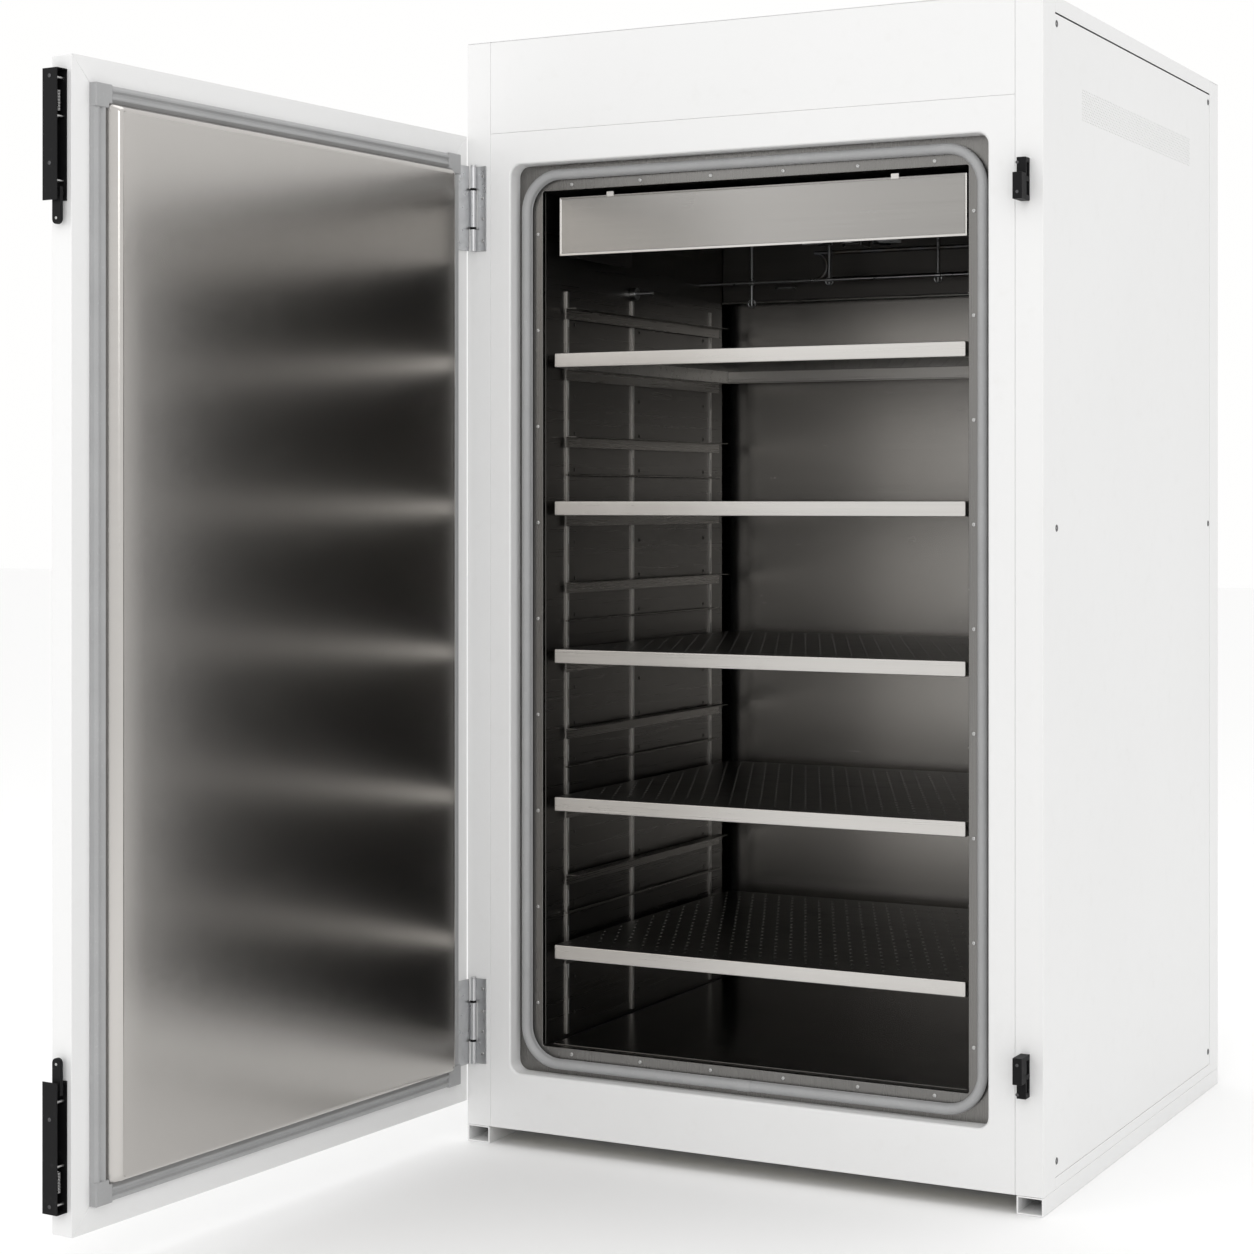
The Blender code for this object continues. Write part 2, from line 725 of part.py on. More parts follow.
def door_block(inset, front, back):
    """A block with the door's outline, drawn in by inset on every side."""
    return block(
        (DOOR_LEFT + inset, front, DOOR_BOTTOM + inset),
        (DOOR_RIGHT - inset, back, DOOR_TOP - inset),
    )


def pan_block(inset, front, back):
    """The raised part of the door's inner pan, which reaches past the middle of the gasket."""
    reach = GASKET_MARGIN - inset
    return block(
        (MOUTH_LEFT - PAN_PAST_LEFT - reach, front, MOUTH_FLOOR - PAN_PAST_HEIGHT - reach),
        (MOUTH_RIGHT + PAN_PAST_RIGHT + reach, back, MOUTH_TOP + PAN_PAST_HEIGHT + reach),
    )


def door_shell(shop):
    """Outer sheet, four edges and the mitred frame on the inner face."""
    shell = door_block(0.0, DOOR_OUTER, DOOR_INNER)
    hollow = door_block(SKIN, DOOR_OUTER + SKIN, DOOR_INNER - SKIN)
    window = door_block(FRAME_FACE, DOOR_OUTER + 2 * SKIN, DOOR_INNER + SKIN)
    shop.cut(shell, hollow, window)
    return shop.keep(shell, "door_shell", "white_paint")


def door_pan(shop):
    """The stainless pan that closes the door's window and presses on the chamber gasket."""
    face = GASKET_FRONT - PAN_CLEARANCE
    pan = door_block(FRAME_FACE + GAP, DOOR_INNER - LINER, DOOR_INNER)
    shop.join(pan, pan_block(0.0, DOOR_INNER - LINER / 2, face))
    shop.cut(pan, pan_block(LINER, DOOR_INNER - 2 * LINER, face - LINER))
    return shop.keep(pan, "door_pan", "stainless")


def door_insulation(shop):
    face = GASKET_FRONT - PAN_CLEARANCE
    inset = SKIN + GAP
    wool = door_block(inset, DOOR_OUTER + inset, DOOR_INNER - inset)
    plug = pan_block(LINER + GAP, DOOR_OUTER + 2 * inset, face - LINER - GAP)
    shop.join(wool, plug)
    return shop.keep(wool, "door_insulation", "mineral_wool")


def door_gasket(shop):
    seal = door_block(SEAL_INSET, DOOR_INNER + GAP, -SEAL_CLEARANCE)
    shop.cut(seal, door_block(SEAL_INSET + SEAL_WIDTH, DOOR_OUTER, -DOOR_OUTER))
    return shop.keep(seal, "door_gasket", "seal_grey")


# Hinges, modelled with the door closed


def hinge_leaf(shop, kind, number):
    """A leaf of the cabinet with a knuckle at each end, or one of the door with one between."""
    low = HINGE_RISES[number - 1]
    high = low + HINGE_LENGTH
    if kind == "cabinet":
        front, back = -GAP - LEAF, -GAP
        plate = block((HINGE_X - LEAF, front, low), (HINGE_X + LEAF_CABINET, back, high))
        open_spans = ((low + KNUCKLE_END, high - KNUCKLE_END),)
    else:
        front, back = DOOR_INNER + GAP, DOOR_INNER + GAP + LEAF
        plate = block((HINGE_X, front, low), (HINGE_X + LEAF_DOOR, back, high))
        inner_low, inner_high = low + KNUCKLE_END, high - KNUCKLE_END
        open_spans = (
            (low - LEAF, inner_low + KNUCKLE_SPACE),
            (inner_high - KNUCKLE_SPACE, high + LEAF),
        )
    shop.join(plate, cylinder((HINGE_X, HINGE_Y, low), HINGE_LENGTH, BARREL_RADIUS))
    reach = BARREL_RADIUS + 2 * KNUCKLE_SPACE
    for start, end in open_spans:
        space = block(
            (HINGE_X - reach, HINGE_Y - reach, start), (HINGE_X + reach, HINGE_Y + reach, end)
        )
        shop.cut(plate, space)
    bore = PIN_RADIUS + PIN_CLEARANCE
    shop.cut(plate, cylinder((HINGE_X, HINGE_Y, low - LEAF), HINGE_LENGTH + 2 * LEAF, bore))
    return shop.keep(plate, f"hinge_leaf_{kind}_{number}", "zinc")


def hinge_pin(shop, number):
    """The pin, with a round head on top."""
    low = HINGE_RISES[number - 1]
    pin = cylinder((HINGE_X, HINGE_Y, low), HINGE_LENGTH + LEAF, PIN_RADIUS, sides=16)
    head = cylinder(
        (HINGE_X, HINGE_Y, low + HINGE_LENGTH + GAP), LEAF, BARREL_RADIUS - GAP, sides=16
    )
    shop.join(pin, head)
    return shop.keep(pin, f"hinge_pin_{number}", "zinc")


# Latches and keepers, modelled with the door closed


def latch_span(low, high, upright):
    """Heights along a latch from its lever end; the lower latch is the upper one inverted."""
    if upright:
        return LATCH_RISES[1] + low, LATCH_RISES[1] + high
    top = LATCH_RISES[0] + LATCH_LENGTH
    return top - high, top - low


def latch_block(left, right, front, back, low, high, upright):
    low, high = latch_span(low, high, upright)
    return block((left, front, low), (right, back, high))


def latch_pivot(upright):
    """The middle of the lever's pivot pin."""
    height = latch_span(LEVER_PIVOT_RISE, LEVER_PIVOT_RISE, upright)[0]
    middle_x = DOOR_RIGHT + GAP + LATCH_WIDTH / 2
    middle_y = DOOR_OUTER + LATCH_SETBACK + LEVER_SETBACK
    return Vector((middle_x, middle_y, height))


def latch_housing(shop, name, upright):
    """A channel open towards the cabinet, and open at its lever end, with the pivot pin."""
    left = DOOR_RIGHT + GAP
    right = left + LATCH_WIDTH
    front = DOOR_OUTER + LATCH_SETBACK
    back = front + LATCH_DEPTH
    housing = latch_block(left, right, front, back, 0, LATCH_LENGTH, upright)
    left += LATCH_WALL
    right -= LATCH_WALL
    inside = latch_block(
        left, right, front + LATCH_WALL, 2 * back - front,
        -LATCH_WIDTH, LATCH_LENGTH - LATCH_WALL, upright,
    )
    lever_way = latch_block(
        left, right, front - LATCH_WALL, back, -LATCH_WIDTH, LEVER_MOUTH, upright
    )
    pivot = latch_pivot(upright)
    pin_start = (left - LATCH_WALL / 2, pivot.y, pivot.z)
    pin_length = right - left + LATCH_WALL
    shop.cut(housing, inside, lever_way)
    shop.join(housing, cylinder(pin_start, pin_length, LEVER_PIN_RADIUS, "X", 12))
    return shop.keep(housing, f"latch_housing_{name}", "black_plastic")


def latch_lever(shop, name, upright):
    """A flat bar that swings on the pin; its round finger end stands out of the housing."""
    pivot = latch_pivot(upright)
    half = LATCH_WIDTH / 2 - LATCH_WALL - LEVER_PLAY
    left = pivot.x - LEVER_THICKNESS / 2
    end_rise = LEVER_PIVOT_RISE - LEVER_REACH + LEVER_WIDTH / 2
    lever = latch_block(
        left, left + LEVER_THICKNESS, pivot.y - LEVER_WIDTH / 2, pivot.y + LEVER_WIDTH / 2,
        end_rise, LEVER_PIVOT_RISE + LEVER_TAIL, upright,
    )
    end_z = latch_span(end_rise, end_rise, upright)[0]
    end = cylinder((left, pivot.y, end_z), LEVER_THICKNESS, LEVER_WIDTH / 2, "X")
    boss = cylinder((pivot.x - half, pivot.y, pivot.z), 2 * half, LEVER_BOSS_RADIUS, "X", 16)
    bore = cylinder(
        (pivot.x - 2 * half, pivot.y, pivot.z), 4 * half,
        LEVER_PIN_RADIUS + PIN_CLEARANCE, "X", 16,
    )
    shop.join(lever, end, boss)
    shop.cut(lever, bore)
    set_origin(lever, pivot)
    return shop.keep(lever, f"latch_lever_{name}", "black_plastic")


def latch_keeper(shop, name, upright):
    """The block on the cabinet's front that a latch housing closes over, with two pockets."""
    left = DOOR_RIGHT + GAP + LATCH_WALL + KEEPER_PLAY
    right = DOOR_RIGHT + GAP + LATCH_WIDTH - LATCH_WALL - KEEPER_PLAY
    low, high = KEEPER_RISE, KEEPER_RISE + KEEPER_HEIGHT
    keeper = latch_block(left, right, -KEEPER_DEPTH, -GAP, low, high, upright)
    step = latch_block(
        left - LATCH_WALL, right + LATCH_WALL, -2 * KEEPER_DEPTH, -KEEPER_STEP_DEPTH,
        low + KEEPER_STEP_RISE, high + LATCH_WALL, upright,
    )
    shop.cut(keeper, step)
    for rise in POCKET_RISES:
        low = KEEPER_RISE + rise
        pocket = latch_block(
            right - POCKET_DEPTH, right + POCKET_DEPTH, -POCKET_LENGTH - POCKET_DEPTH,
            -POCKET_DEPTH, low, low + POCKET_HEIGHT, upright,
        )
        shop.cut(keeper, pocket)
    return shop.keep(keeper, f"latch_keeper_{name}", "black_plastic")


# Assembly


def empty_at(name, place):
    holder = bpy.data.objects.new(name, None)
    bpy.context.scene.collection.objects.link(holder)
    holder.location = place
    return holder


def hang_on(holder, things):
    """Parents things to a holder that isn't turned yet; they stay where they are."""
    for thing in things:
        thing.parent = holder
        thing.location = thing.location - holder.location


def build_cabinet(shop):
    for side in ("left", "right"):
        base_runner(shop, side)
        corner_post(shop, side, "front")
        corner_post(shop, side, "rear")
        side_panel(shop, side)
        side_duct(shop, side)
    for make in (
        base_pan, roof_panel, front_panel, fascia_panel, back_panel, machine_deck,
        insulation_wrap, chamber_tank, seal_flange, chamber_gasket, rear_baffle,
        air_hood, fan_cover, heater_element, heater_support, fan_impeller, fan_motor,
        temperature_probe, power_module,
    ):
        make(shop)
    for number in range(1, SHELF_COUNT + 1):
        shelf(shop, number)
        for side in ("left", "right"):
            shelf_rail(shop, number, side)
    for name, upright in (("lower", False), ("upper", True)):
        latch_keeper(shop, name, upright)
    for number in (1, 2):
        hinge_leaf(shop, "cabinet", number)
        hinge_pin(shop, number)


def build_door(shop):
    for make in (door_shell, door_pan, door_insulation, door_gasket):
        make(shop)
    for number in (1, 2):
        hinge_leaf(shop, "door", number)
    for name, upright in (("lower", False), ("upper", True)):
        latch_housing(shop, name, upright)
        latch_lever(shop, name, upright)


def centre_on_floor(holder, parts):
    """Moves the whole object so that the origin is under the middle of its box."""
    bpy.context.view_layer.update()
    corners = []
    for part in parts:
        corners += [part.matrix_world @ Vector(corner) for corner in part.bound_box]
    for axis in (0, 1):
        values = [corner[axis] for corner in corners]
        holder.location[axis] = -(min(values) + max(values)) / 2


def main():
    clear_scene()
    shop = Workshop()
    body = empty_at("cabinet_body", (0, 0, 0))
    door = empty_at("door_hinge_axis", (HINGE_X, HINGE_Y, 0))
    build_cabinet(shop)
    fixed = list(bpy.data.objects)
    fixed.remove(body)
    fixed.remove(door)
    build_door(shop)
    swinging = [thing for thing in bpy.data.objects if thing not in fixed]
    swinging.remove(body)
    swinging.remove(door)
    hang_on(door, swinging)
    door.rotation_euler.z = -math.radians(DOOR_OPEN_DEG)
    hang_on(body, fixed + [door])
    centre_on_floor(body, shop.parts.objects)


main()
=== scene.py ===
# %% [markdown]
# # A tall hot-air cabinet, dressed for a picture
#
# The cabinet is a white box of folded and powder-coated sheet with a stainless chamber in it.
# Its door stands open on two hinges and shows a stainless pan inside a grey seal.
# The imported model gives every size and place. This script adds what the eye looks for: rounded
# folds, punched holes, screws, seal profiles, brushed metal and a soft white paint.

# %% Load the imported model
import json
import math

import bmesh
import bpy
from mathutils import Matrix, Vector

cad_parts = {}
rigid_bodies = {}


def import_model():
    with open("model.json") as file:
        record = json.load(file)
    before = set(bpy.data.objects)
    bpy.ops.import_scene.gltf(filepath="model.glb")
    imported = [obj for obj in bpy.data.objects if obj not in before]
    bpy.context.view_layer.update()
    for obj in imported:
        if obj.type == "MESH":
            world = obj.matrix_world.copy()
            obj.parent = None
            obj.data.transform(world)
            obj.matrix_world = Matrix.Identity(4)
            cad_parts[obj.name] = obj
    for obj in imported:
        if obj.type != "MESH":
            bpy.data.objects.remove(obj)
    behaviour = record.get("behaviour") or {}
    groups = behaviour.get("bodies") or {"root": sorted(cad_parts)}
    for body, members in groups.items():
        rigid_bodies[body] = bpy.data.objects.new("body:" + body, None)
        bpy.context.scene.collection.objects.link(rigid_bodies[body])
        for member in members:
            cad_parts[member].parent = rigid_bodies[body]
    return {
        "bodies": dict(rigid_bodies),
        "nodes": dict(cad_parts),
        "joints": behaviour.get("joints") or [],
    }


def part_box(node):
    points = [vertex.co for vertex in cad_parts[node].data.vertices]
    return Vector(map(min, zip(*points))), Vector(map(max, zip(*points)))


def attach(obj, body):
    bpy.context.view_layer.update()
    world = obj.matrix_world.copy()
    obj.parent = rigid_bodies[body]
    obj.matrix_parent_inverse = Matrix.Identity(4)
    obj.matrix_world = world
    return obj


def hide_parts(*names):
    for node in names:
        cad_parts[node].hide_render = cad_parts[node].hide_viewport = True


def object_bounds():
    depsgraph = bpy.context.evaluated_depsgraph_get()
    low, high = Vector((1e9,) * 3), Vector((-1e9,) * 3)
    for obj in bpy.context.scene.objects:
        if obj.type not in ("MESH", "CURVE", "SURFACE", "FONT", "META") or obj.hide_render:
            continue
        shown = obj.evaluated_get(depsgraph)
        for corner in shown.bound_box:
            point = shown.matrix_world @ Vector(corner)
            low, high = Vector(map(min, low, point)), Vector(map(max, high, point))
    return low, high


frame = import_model()
cad_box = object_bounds()
print("bodies:", ", ".join(frame["bodies"]))
print("overall size:", [round(value, 3) for value in cad_box[1] - cad_box[0]])

# %% [markdown]
# ## Where things are
#
# Pieces of the cabinet are modelled straight in the frame, from the boxes of its nodes.
# The door hangs open at an odd angle, so its pieces are modelled as if it were closed, where
# everything lies square, and the finished mesh is then turned open about the hinge pins.

# %% The door's hinge line
swing = next(joint for joint in frame["joints"] if joint["name"] == "door_swing")
HINGE = Vector(swing["pos_m"])
OPEN_ANGLE = math.radians(swing["range_deg"][1])
TO_OPEN = (
    Matrix.Translation(HINGE) @ Matrix.Rotation(-OPEN_ANGLE, 4, "Z") @ Matrix.Translation(-HINGE)
)


def closed_box(node):
    """A door node's lowest and highest corners, with the door closed."""
    turn_back = TO_OPEN.inverted()
    points = [turn_back @ vertex.co for vertex in frame["nodes"][node].data.vertices]
    low = Vector([min(point[axis] for point in points) for axis in range(3)])
    high = Vector([max(point[axis] for point in points) for axis in range(3)])
    return low, high


print("the door stands open by", swing["range_deg"][1], "degrees")

# %% [markdown]
# ## Light, floor and camera
#
# White metal on a white ground needs soft light from large faces: a wide light at the front
# right is the key, a weaker one at the front left lifts the shade of the door, a third hangs
# above, and the pale world fills the rest. The floor is one large pale plane.

# %% World and lights
world = bpy.data.worlds.new("pale_world")
world.use_nodes = True
background = world.node_tree.nodes["Background"]
background.inputs["Color"].default_value = (1.0, 0.997, 0.992, 1.0)
background.inputs["Strength"].default_value = 1.0
scene = bpy.context.scene
scene.world = world
scene.view_settings.view_transform = "Standard"

MIDDLE = (cad_box[0] + cad_box[1]) / 2


def softbox(name, place, size, power):
    """A square light that looks at the middle of the cabinet."""
    bpy.ops.object.light_add(type="AREA", location=place)
    light = bpy.context.object
    light.name = name
    light.data.size = size
    light.data.energy = power
    light.rotation_euler = (MIDDLE - Vector(place)).to_track_quat("-Z", "Y").to_euler()


LIGHTS = (
    ("key_light", (2.0, -5.8, 3.6), 3.2, 62), ("fill_light", (-3.2, -4.6, 2.6), 2.6, 16),
    ("top_light", (0.0, 0.0, 6.0), 4.0, 50),
)
for light in LIGHTS:
    softbox(*light)
print("lights:", len(LIGHTS))

# %% Floor
bpy.ops.mesh.primitive_plane_add(size=60, location=(0, 0, 0))
floor = bpy.context.object
floor.name = "studio_floor"
floor_paint = bpy.data.materials.new("studio_floor")
floor_paint.use_nodes = True
floor_shader = floor_paint.node_tree.nodes["Principled BSDF"]
floor_shader.inputs["Base Color"].default_value = (0.96, 0.96, 0.96, 1.0)
floor_shader.inputs["Roughness"].default_value = 0.9
floor.data.materials.append(floor_paint)

# %% Camera
EYE = Vector((1.933, -4.0412, 1.168))
TURN_LEFT = math.radians(27.6)
LENS_MM = 73.9
SENSOR_MM = 36
SHIFT_DOWN = 0.1013
bpy.ops.object.camera_add(location=EYE, rotation=(math.pi / 2, 0, TURN_LEFT))
camera = bpy.context.object
camera.data.lens = LENS_MM
camera.data.sensor_width = SENSOR_MM
camera.data.shift_y = -SHIFT_DOWN
scene.camera = camera
print("the camera is", round((EYE - MIDDLE).length, 2), "m from the middle")

# %% [markdown]
# ## A small kit for materials
#
# Every finish is a Principled shader with noise patterns in front of it. Arithmetic on a pattern
# would take many Math nodes by hand, so a small class wraps a number socket: an expression such
# as 1 - grain * 0.2 then adds the nodes by itself.

# %% Numbers that build their own nodes


class Number:
    """A number socket of a finish; arithmetic on it adds Math nodes."""

    def __init__(self, finish, socket):
        self.finish = finish
        self.socket = socket

    def math(self, operation, first, second):
        settings = {"operation": operation}
        node = self.finish.node("ShaderNodeMath", settings, {0: first, 1: second})
        return Number(self.finish, node.outputs[0])

    def __add__(self, other):
        return self.math("ADD", self, other)

    def __mul__(self, other):
        return self.math("MULTIPLY", self, other)

    def __sub__(self, other):
        return self.math("SUBTRACT", self, other)

    def __rsub__(self, other):
        return self.math("SUBTRACT", other, self)

    __radd__ = __add__

    def above(self, edge, width):
        """0 below the edge, 1 above it, with a soft step between."""
        inputs = {"Value": self, "From Min": edge, "From Max": edge + width}
        settings = {"interpolation_type": "SMOOTHSTEP"}
        return Number(self.finish, self.finish.node("ShaderNodeMapRange", settings, inputs).outputs[0])


# %% A finish


class Finish:
    """A material with a Principled shader, and the patterns that feed it."""

    def __init__(self, name, metallic=0.0):
        self.material = bpy.data.materials.new(name)
        self.material.use_nodes = True
        self.tree = self.material.node_tree
        self.shader = self.tree.nodes["Principled BSDF"]
        self.shader.inputs["Metallic"].default_value = metallic

    def node(self, kind, settings, inputs):
        """Adds a node, makes its settings, then fills its sockets with values or links."""
        made = self.tree.nodes.new(kind)
        for setting, value in settings.items():
            setattr(made, setting, value)
        for name, value in inputs.items():
            self.feed(made.inputs[name], value)
        return made

    def feed(self, socket, value):
        if isinstance(value, Number):
            value = value.socket
        if isinstance(value, bpy.types.NodeSocket):
            self.tree.links.new(value, socket)
        else:
            socket.default_value = value

    def noise(self, scale, detail=2.0):
        """Noise on the piece's own coordinates; scale is in waves a metre, one or X, Y and Z."""
        scale = scale if isinstance(scale, tuple) else (scale, scale, scale)
        place = self.node("ShaderNodeTexCoord", {}, {}).outputs["Object"]
        fitted = self.node("ShaderNodeMapping", {}, {"Vector": place, "Scale": scale})
        inputs = {"Vector": fitted.outputs[0], "Scale": 1.0, "Detail": detail}
        return Number(self, self.node("ShaderNodeTexNoise", {}, inputs).outputs[0])

    def mix(self, factor, first, second):
        """A colour between two; the first may be a mixed colour already."""
        if isinstance(first, tuple):
            first = (*first, 1.0)
        inputs = {0: factor, 6: first, 7: (*second, 1.0)}
        return self.node("ShaderNodeMix", {"data_type": "RGBA"}, inputs).outputs[2]

    def bump(self, height, depth):
        inputs = {"Height": height, "Strength": 1.0, "Distance": depth}
        self.feed(self.shader.inputs["Normal"], self.node("ShaderNodeBump", {}, inputs).outputs[0])

    def wear(self, **sockets):
        for name, value in sockets.items():
            self.feed(self.shader.inputs[name.replace("_", " ")], value)
        return self.material


print("kit ready:", Finish.__name__)

# %% [markdown]
# ## White powder coat
#
# The covers are sheet steel with a baked powder coat: an even, slightly warm white with half a
# gloss. Close up it has orange peel, small waves about a millimetre long that break a
# reflection. A very broad cloud keeps large panels from looking like flat card, and a faint
# film of dust makes some places duller.

# %% Powder coat


def powder_coat():
    coat = Finish("white_powder_coat")
    cloud = coat.noise(1.7, 3.0)
    dust = coat.noise(38, 4.0)
    peel = coat.noise(620, 1.0)
    speck = coat.noise(2100, 1.0)
    white = coat.mix(cloud, (0.752, 0.752, 0.750), (0.785, 0.786, 0.785))
    white = coat.mix(dust.above(0.56, 0.30) * 0.35, white, (0.720, 0.716, 0.705))
    coat.bump(peel * 0.8 + speck * 0.2, 0.00010)
    return coat.wear(Base_Color=white, Roughness=0.34 + dust * 0.14 + speck * 0.04)


# %% [markdown]
# ## Brushed stainless sheet
#
# Stainless sheet is brushed in one direction. The brushing is thousands of hair-thin grooves,
# so noise is squeezed across the grain and drawn out along it. It moves the roughness most, the
# colour a little, and the bump least. Broad clouds stand for finger marks and uneven polish.
# Each place gets its own colour pair, and most pairs are darkened as painted shade.

# %% Brushed steel


def brushed(name, grain, dark, light, roughness, depth=1.0):
    """Brushed sheet whose grain runs along X, Y or Z; depth weakens the marks."""
    steel = Finish(name, metallic=1.0)
    hairs = steel.noise(tuple(5.0 if axis == grain else 900.0 for axis in "XYZ"), 3.0)
    streaks = steel.noise(tuple(0.9 if axis == grain else 90.0 for axis in "XYZ"), 2.0)
    clouds = steel.noise(3.1, 3.0)
    marks = steel.noise(17, 5.0)
    colour = steel.mix(hairs * 0.35 + streaks * 0.35 + clouds * 0.3, dark, light)
    smear = marks.above(0.55, 0.22)
    steel.bump(hairs * 0.7 + streaks * 0.3, 0.00002 * depth)
    grooves = (hairs - 0.5) * (0.14 * depth) + (streaks - 0.5) * (0.10 * depth)
    return steel.wear(Base_Color=colour, Roughness=roughness + grooves + smear * (0.05 * depth))


# %% [markdown]
# ## Seals, plastics and the plain metals
#
# The two seals are grey silicone, dull, with fine talc in their pores. The latches are moulded
# black plastic with a fine spark-eroded grain. Hinges and screws are zinc plated, so they are
# patchy and a little blue. The heater has the brown and blue stains of hot steel.

# %% Silicone, plastic, zinc and hot steel


def silicone():
    rubber = Finish("grey_silicone")
    talc = rubber.noise(240, 4.0)
    blotch = rubber.noise(14, 3.0)
    grey = rubber.mix(blotch, (0.300, 0.302, 0.305), (0.380, 0.382, 0.386))
    grey = rubber.mix(talc.above(0.60, 0.15) * 0.30, grey, (0.48, 0.483, 0.487))
    rubber.bump(talc, 0.00012)
    return rubber.wear(Base_Color=grey, Roughness=0.40 + blotch * 0.22)


def black_plastic():
    plastic = Finish("black_moulded_plastic")
    grain = plastic.noise(1500, 2.0)
    rub = plastic.noise(55, 4.0)
    black = plastic.mix(rub, (0.0045, 0.0045, 0.005), (0.009, 0.009, 0.0095))
    black = plastic.mix(rub.above(0.62, 0.10) * 0.4, black, (0.022, 0.022, 0.023))
    plastic.bump(grain, 0.00008)
    plastic.shader.inputs["Specular IOR Level"].default_value = 0.13
    return plastic.wear(Base_Color=black, Roughness=0.42 + rub * 0.20)


def zinc_plate(name, dark, light, roughness):
    zinc = Finish(name, metallic=1.0)
    patch = zinc.noise(70, 3.0)
    scratch = zinc.noise((60, 900, 900), 2.0)
    colour = zinc.mix(patch * 0.7 + scratch * 0.3, dark, light)
    zinc.bump(patch * 0.4 + scratch * 0.6, 0.00003)
    return zinc.wear(Base_Color=colour, Roughness=roughness + patch * 0.16)


def hot_steel():
    steel = Finish("heat_stained_steel", metallic=1.0)
    stain = steel.noise(16, 3.0)
    scale = steel.noise(420, 3.0)
    colour = steel.mix(stain.above(0.42, 0.2), (0.190, 0.172, 0.150), (0.235, 0.240, 0.255))
    colour = steel.mix(scale.above(0.58, 0.14) * 0.5, colour, (0.110, 0.102, 0.096))
    steel.bump(scale, 0.00015)
    return steel.wear(Base_Color=colour, Roughness=0.36 + scale * 0.26)


# %% [markdown]
# ## Finishes out of sight
#
# Behind the covers there is mineral wool round the chamber, a painted motor and the grey box
# of the controller. They show only through the vents, and when a cover is taken away.

# %% Wool and machine paint


def mineral_wool():
    wool = Finish("mineral_wool")
    fibre = wool.noise((130, 130, 600), 5.0)
    lump = wool.noise(22, 3.0)
    colour = wool.mix(fibre * 0.6 + lump * 0.4, (0.30, 0.25, 0.13), (0.60, 0.54, 0.36))
    wool.bump(fibre * 0.6 + lump * 0.4, 0.003)
    return wool.wear(Base_Color=colour, Roughness=0.95 - fibre * 0.08)


def machine_paint(name, dark, light):
    paint = Finish(name)
    chalk = paint.noise(30, 4.0)
    grain = paint.noise(900, 1.0)
    paint.bump(grain, 0.00010)
    return paint.wear(Base_Color=paint.mix(chalk, dark, light), Roughness=0.42 + chalk * 0.16)


# %% Make every finish once
# One brushed stainless gets a colour pair for each place where it stands.
# The chamber, rear, dark, flange, hood and rail pairs are darkened as painted shade;
# the bright pair is lit stainless, a painted highlight on edges and uprights.
PAINTED_HIGHLIGHT_STEEL = ((0.50, 0.485, 0.465), (0.66, 0.645, 0.62))
CHAMBER_PAINTED_SHADE = ((0.125, 0.120, 0.113), (0.205, 0.197, 0.187))
REAR_PAINTED_SHADE = ((0.285, 0.275, 0.262), (0.37, 0.357, 0.34))
DEEP_PAINTED_SHADE = ((0.085, 0.081, 0.077), (0.135, 0.129, 0.122))
PAN = ((0.50, 0.482, 0.462), (0.57, 0.55, 0.527))
FLANGE_PAINTED_SHADE = ((0.16, 0.156, 0.150), (0.235, 0.229, 0.220))
HOOD_PAINTED_SHADE = ((0.27, 0.262, 0.25), (0.36, 0.35, 0.335))
RAIL_PAINTED_SHADE = ((0.24, 0.23, 0.218), (0.36, 0.348, 0.33))
FINISHES = {
    "powder_coat": powder_coat(),
    "bright_x": brushed("stainless_painted_highlight_across", "X", *PAINTED_HIGHLIGHT_STEEL, 0.30),
    "bright_z": brushed("stainless_painted_highlight_upright", "Z", *PAINTED_HIGHLIGHT_STEEL, 0.30),
    "door_steel": brushed("stainless_door_pan", "X", *PAN, 0.22, depth=0.3),
    "flange_painted_shade": brushed("seal_flange_painted_shade", "Z", *FLANGE_PAINTED_SHADE, 0.28),
    "hood_painted_shade": brushed("air_hood_painted_shade", "X", *HOOD_PAINTED_SHADE, 0.25, depth=0.4),
    "rail_painted_shade": brushed("rail_painted_shade", "Y", *RAIL_PAINTED_SHADE, 0.28),
    "wall_painted_shade": brushed("chamber_wall_painted_shade", "Y", *CHAMBER_PAINTED_SHADE, 0.30),
    "back_painted_shade": brushed("chamber_back_painted_shade", "X", *REAR_PAINTED_SHADE, 0.25, depth=0.4),
    "shelf_painted_shade": brushed("shelf_top_painted_shade", "X", *DEEP_PAINTED_SHADE, 0.36),
    "floor_painted_shade": brushed("chamber_floor_painted_shade", "X", *CHAMBER_PAINTED_SHADE, 0.24, depth=0.4),
    "silicone": silicone(),
    "plastic": black_plastic(),
    "zinc": zinc_plate("zinc_plate", (0.46, 0.465, 0.475), (0.66, 0.665, 0.67), 0.22),
    "screw": zinc_plate("screw_steel", (0.36, 0.36, 0.36), (0.62, 0.62, 0.61), 0.20),
    "dark_screw": zinc_plate("blackened_screw", (0.06, 0.06, 0.062), (0.15, 0.15, 0.155), 0.28),
    "hot_steel": hot_steel(),
    "wool": mineral_wool(),
    "motor": machine_paint("motor_paint", (0.10, 0.11, 0.12), (0.15, 0.16, 0.17)),
    "controller": machine_paint("controller_paint", (0.27, 0.28, 0.29), (0.34, 0.35, 0.36)),
}
print("finishes:", len(FINISHES))

# %% [markdown]
# ## The bench
#
# Each piece is shaped as by hand: add a primitive, pick some faces, edges or points by where
# they are, run an edit-mode operator on them, and end with modifiers that are applied at once.
# The Bench class holds the piece and keeps these steps short.

# %% What to pick


def everything(place, way, item):
    return True


def near(value, target, reach=2e-5):
    return abs(value - target) < reach


def facing(axis, side):
    """A test for faces that look along X, Y or Z, to its high end (1) or its low end (-1)."""
    return lambda place, way, item: way["XYZ".index(axis)] * side > 0.99


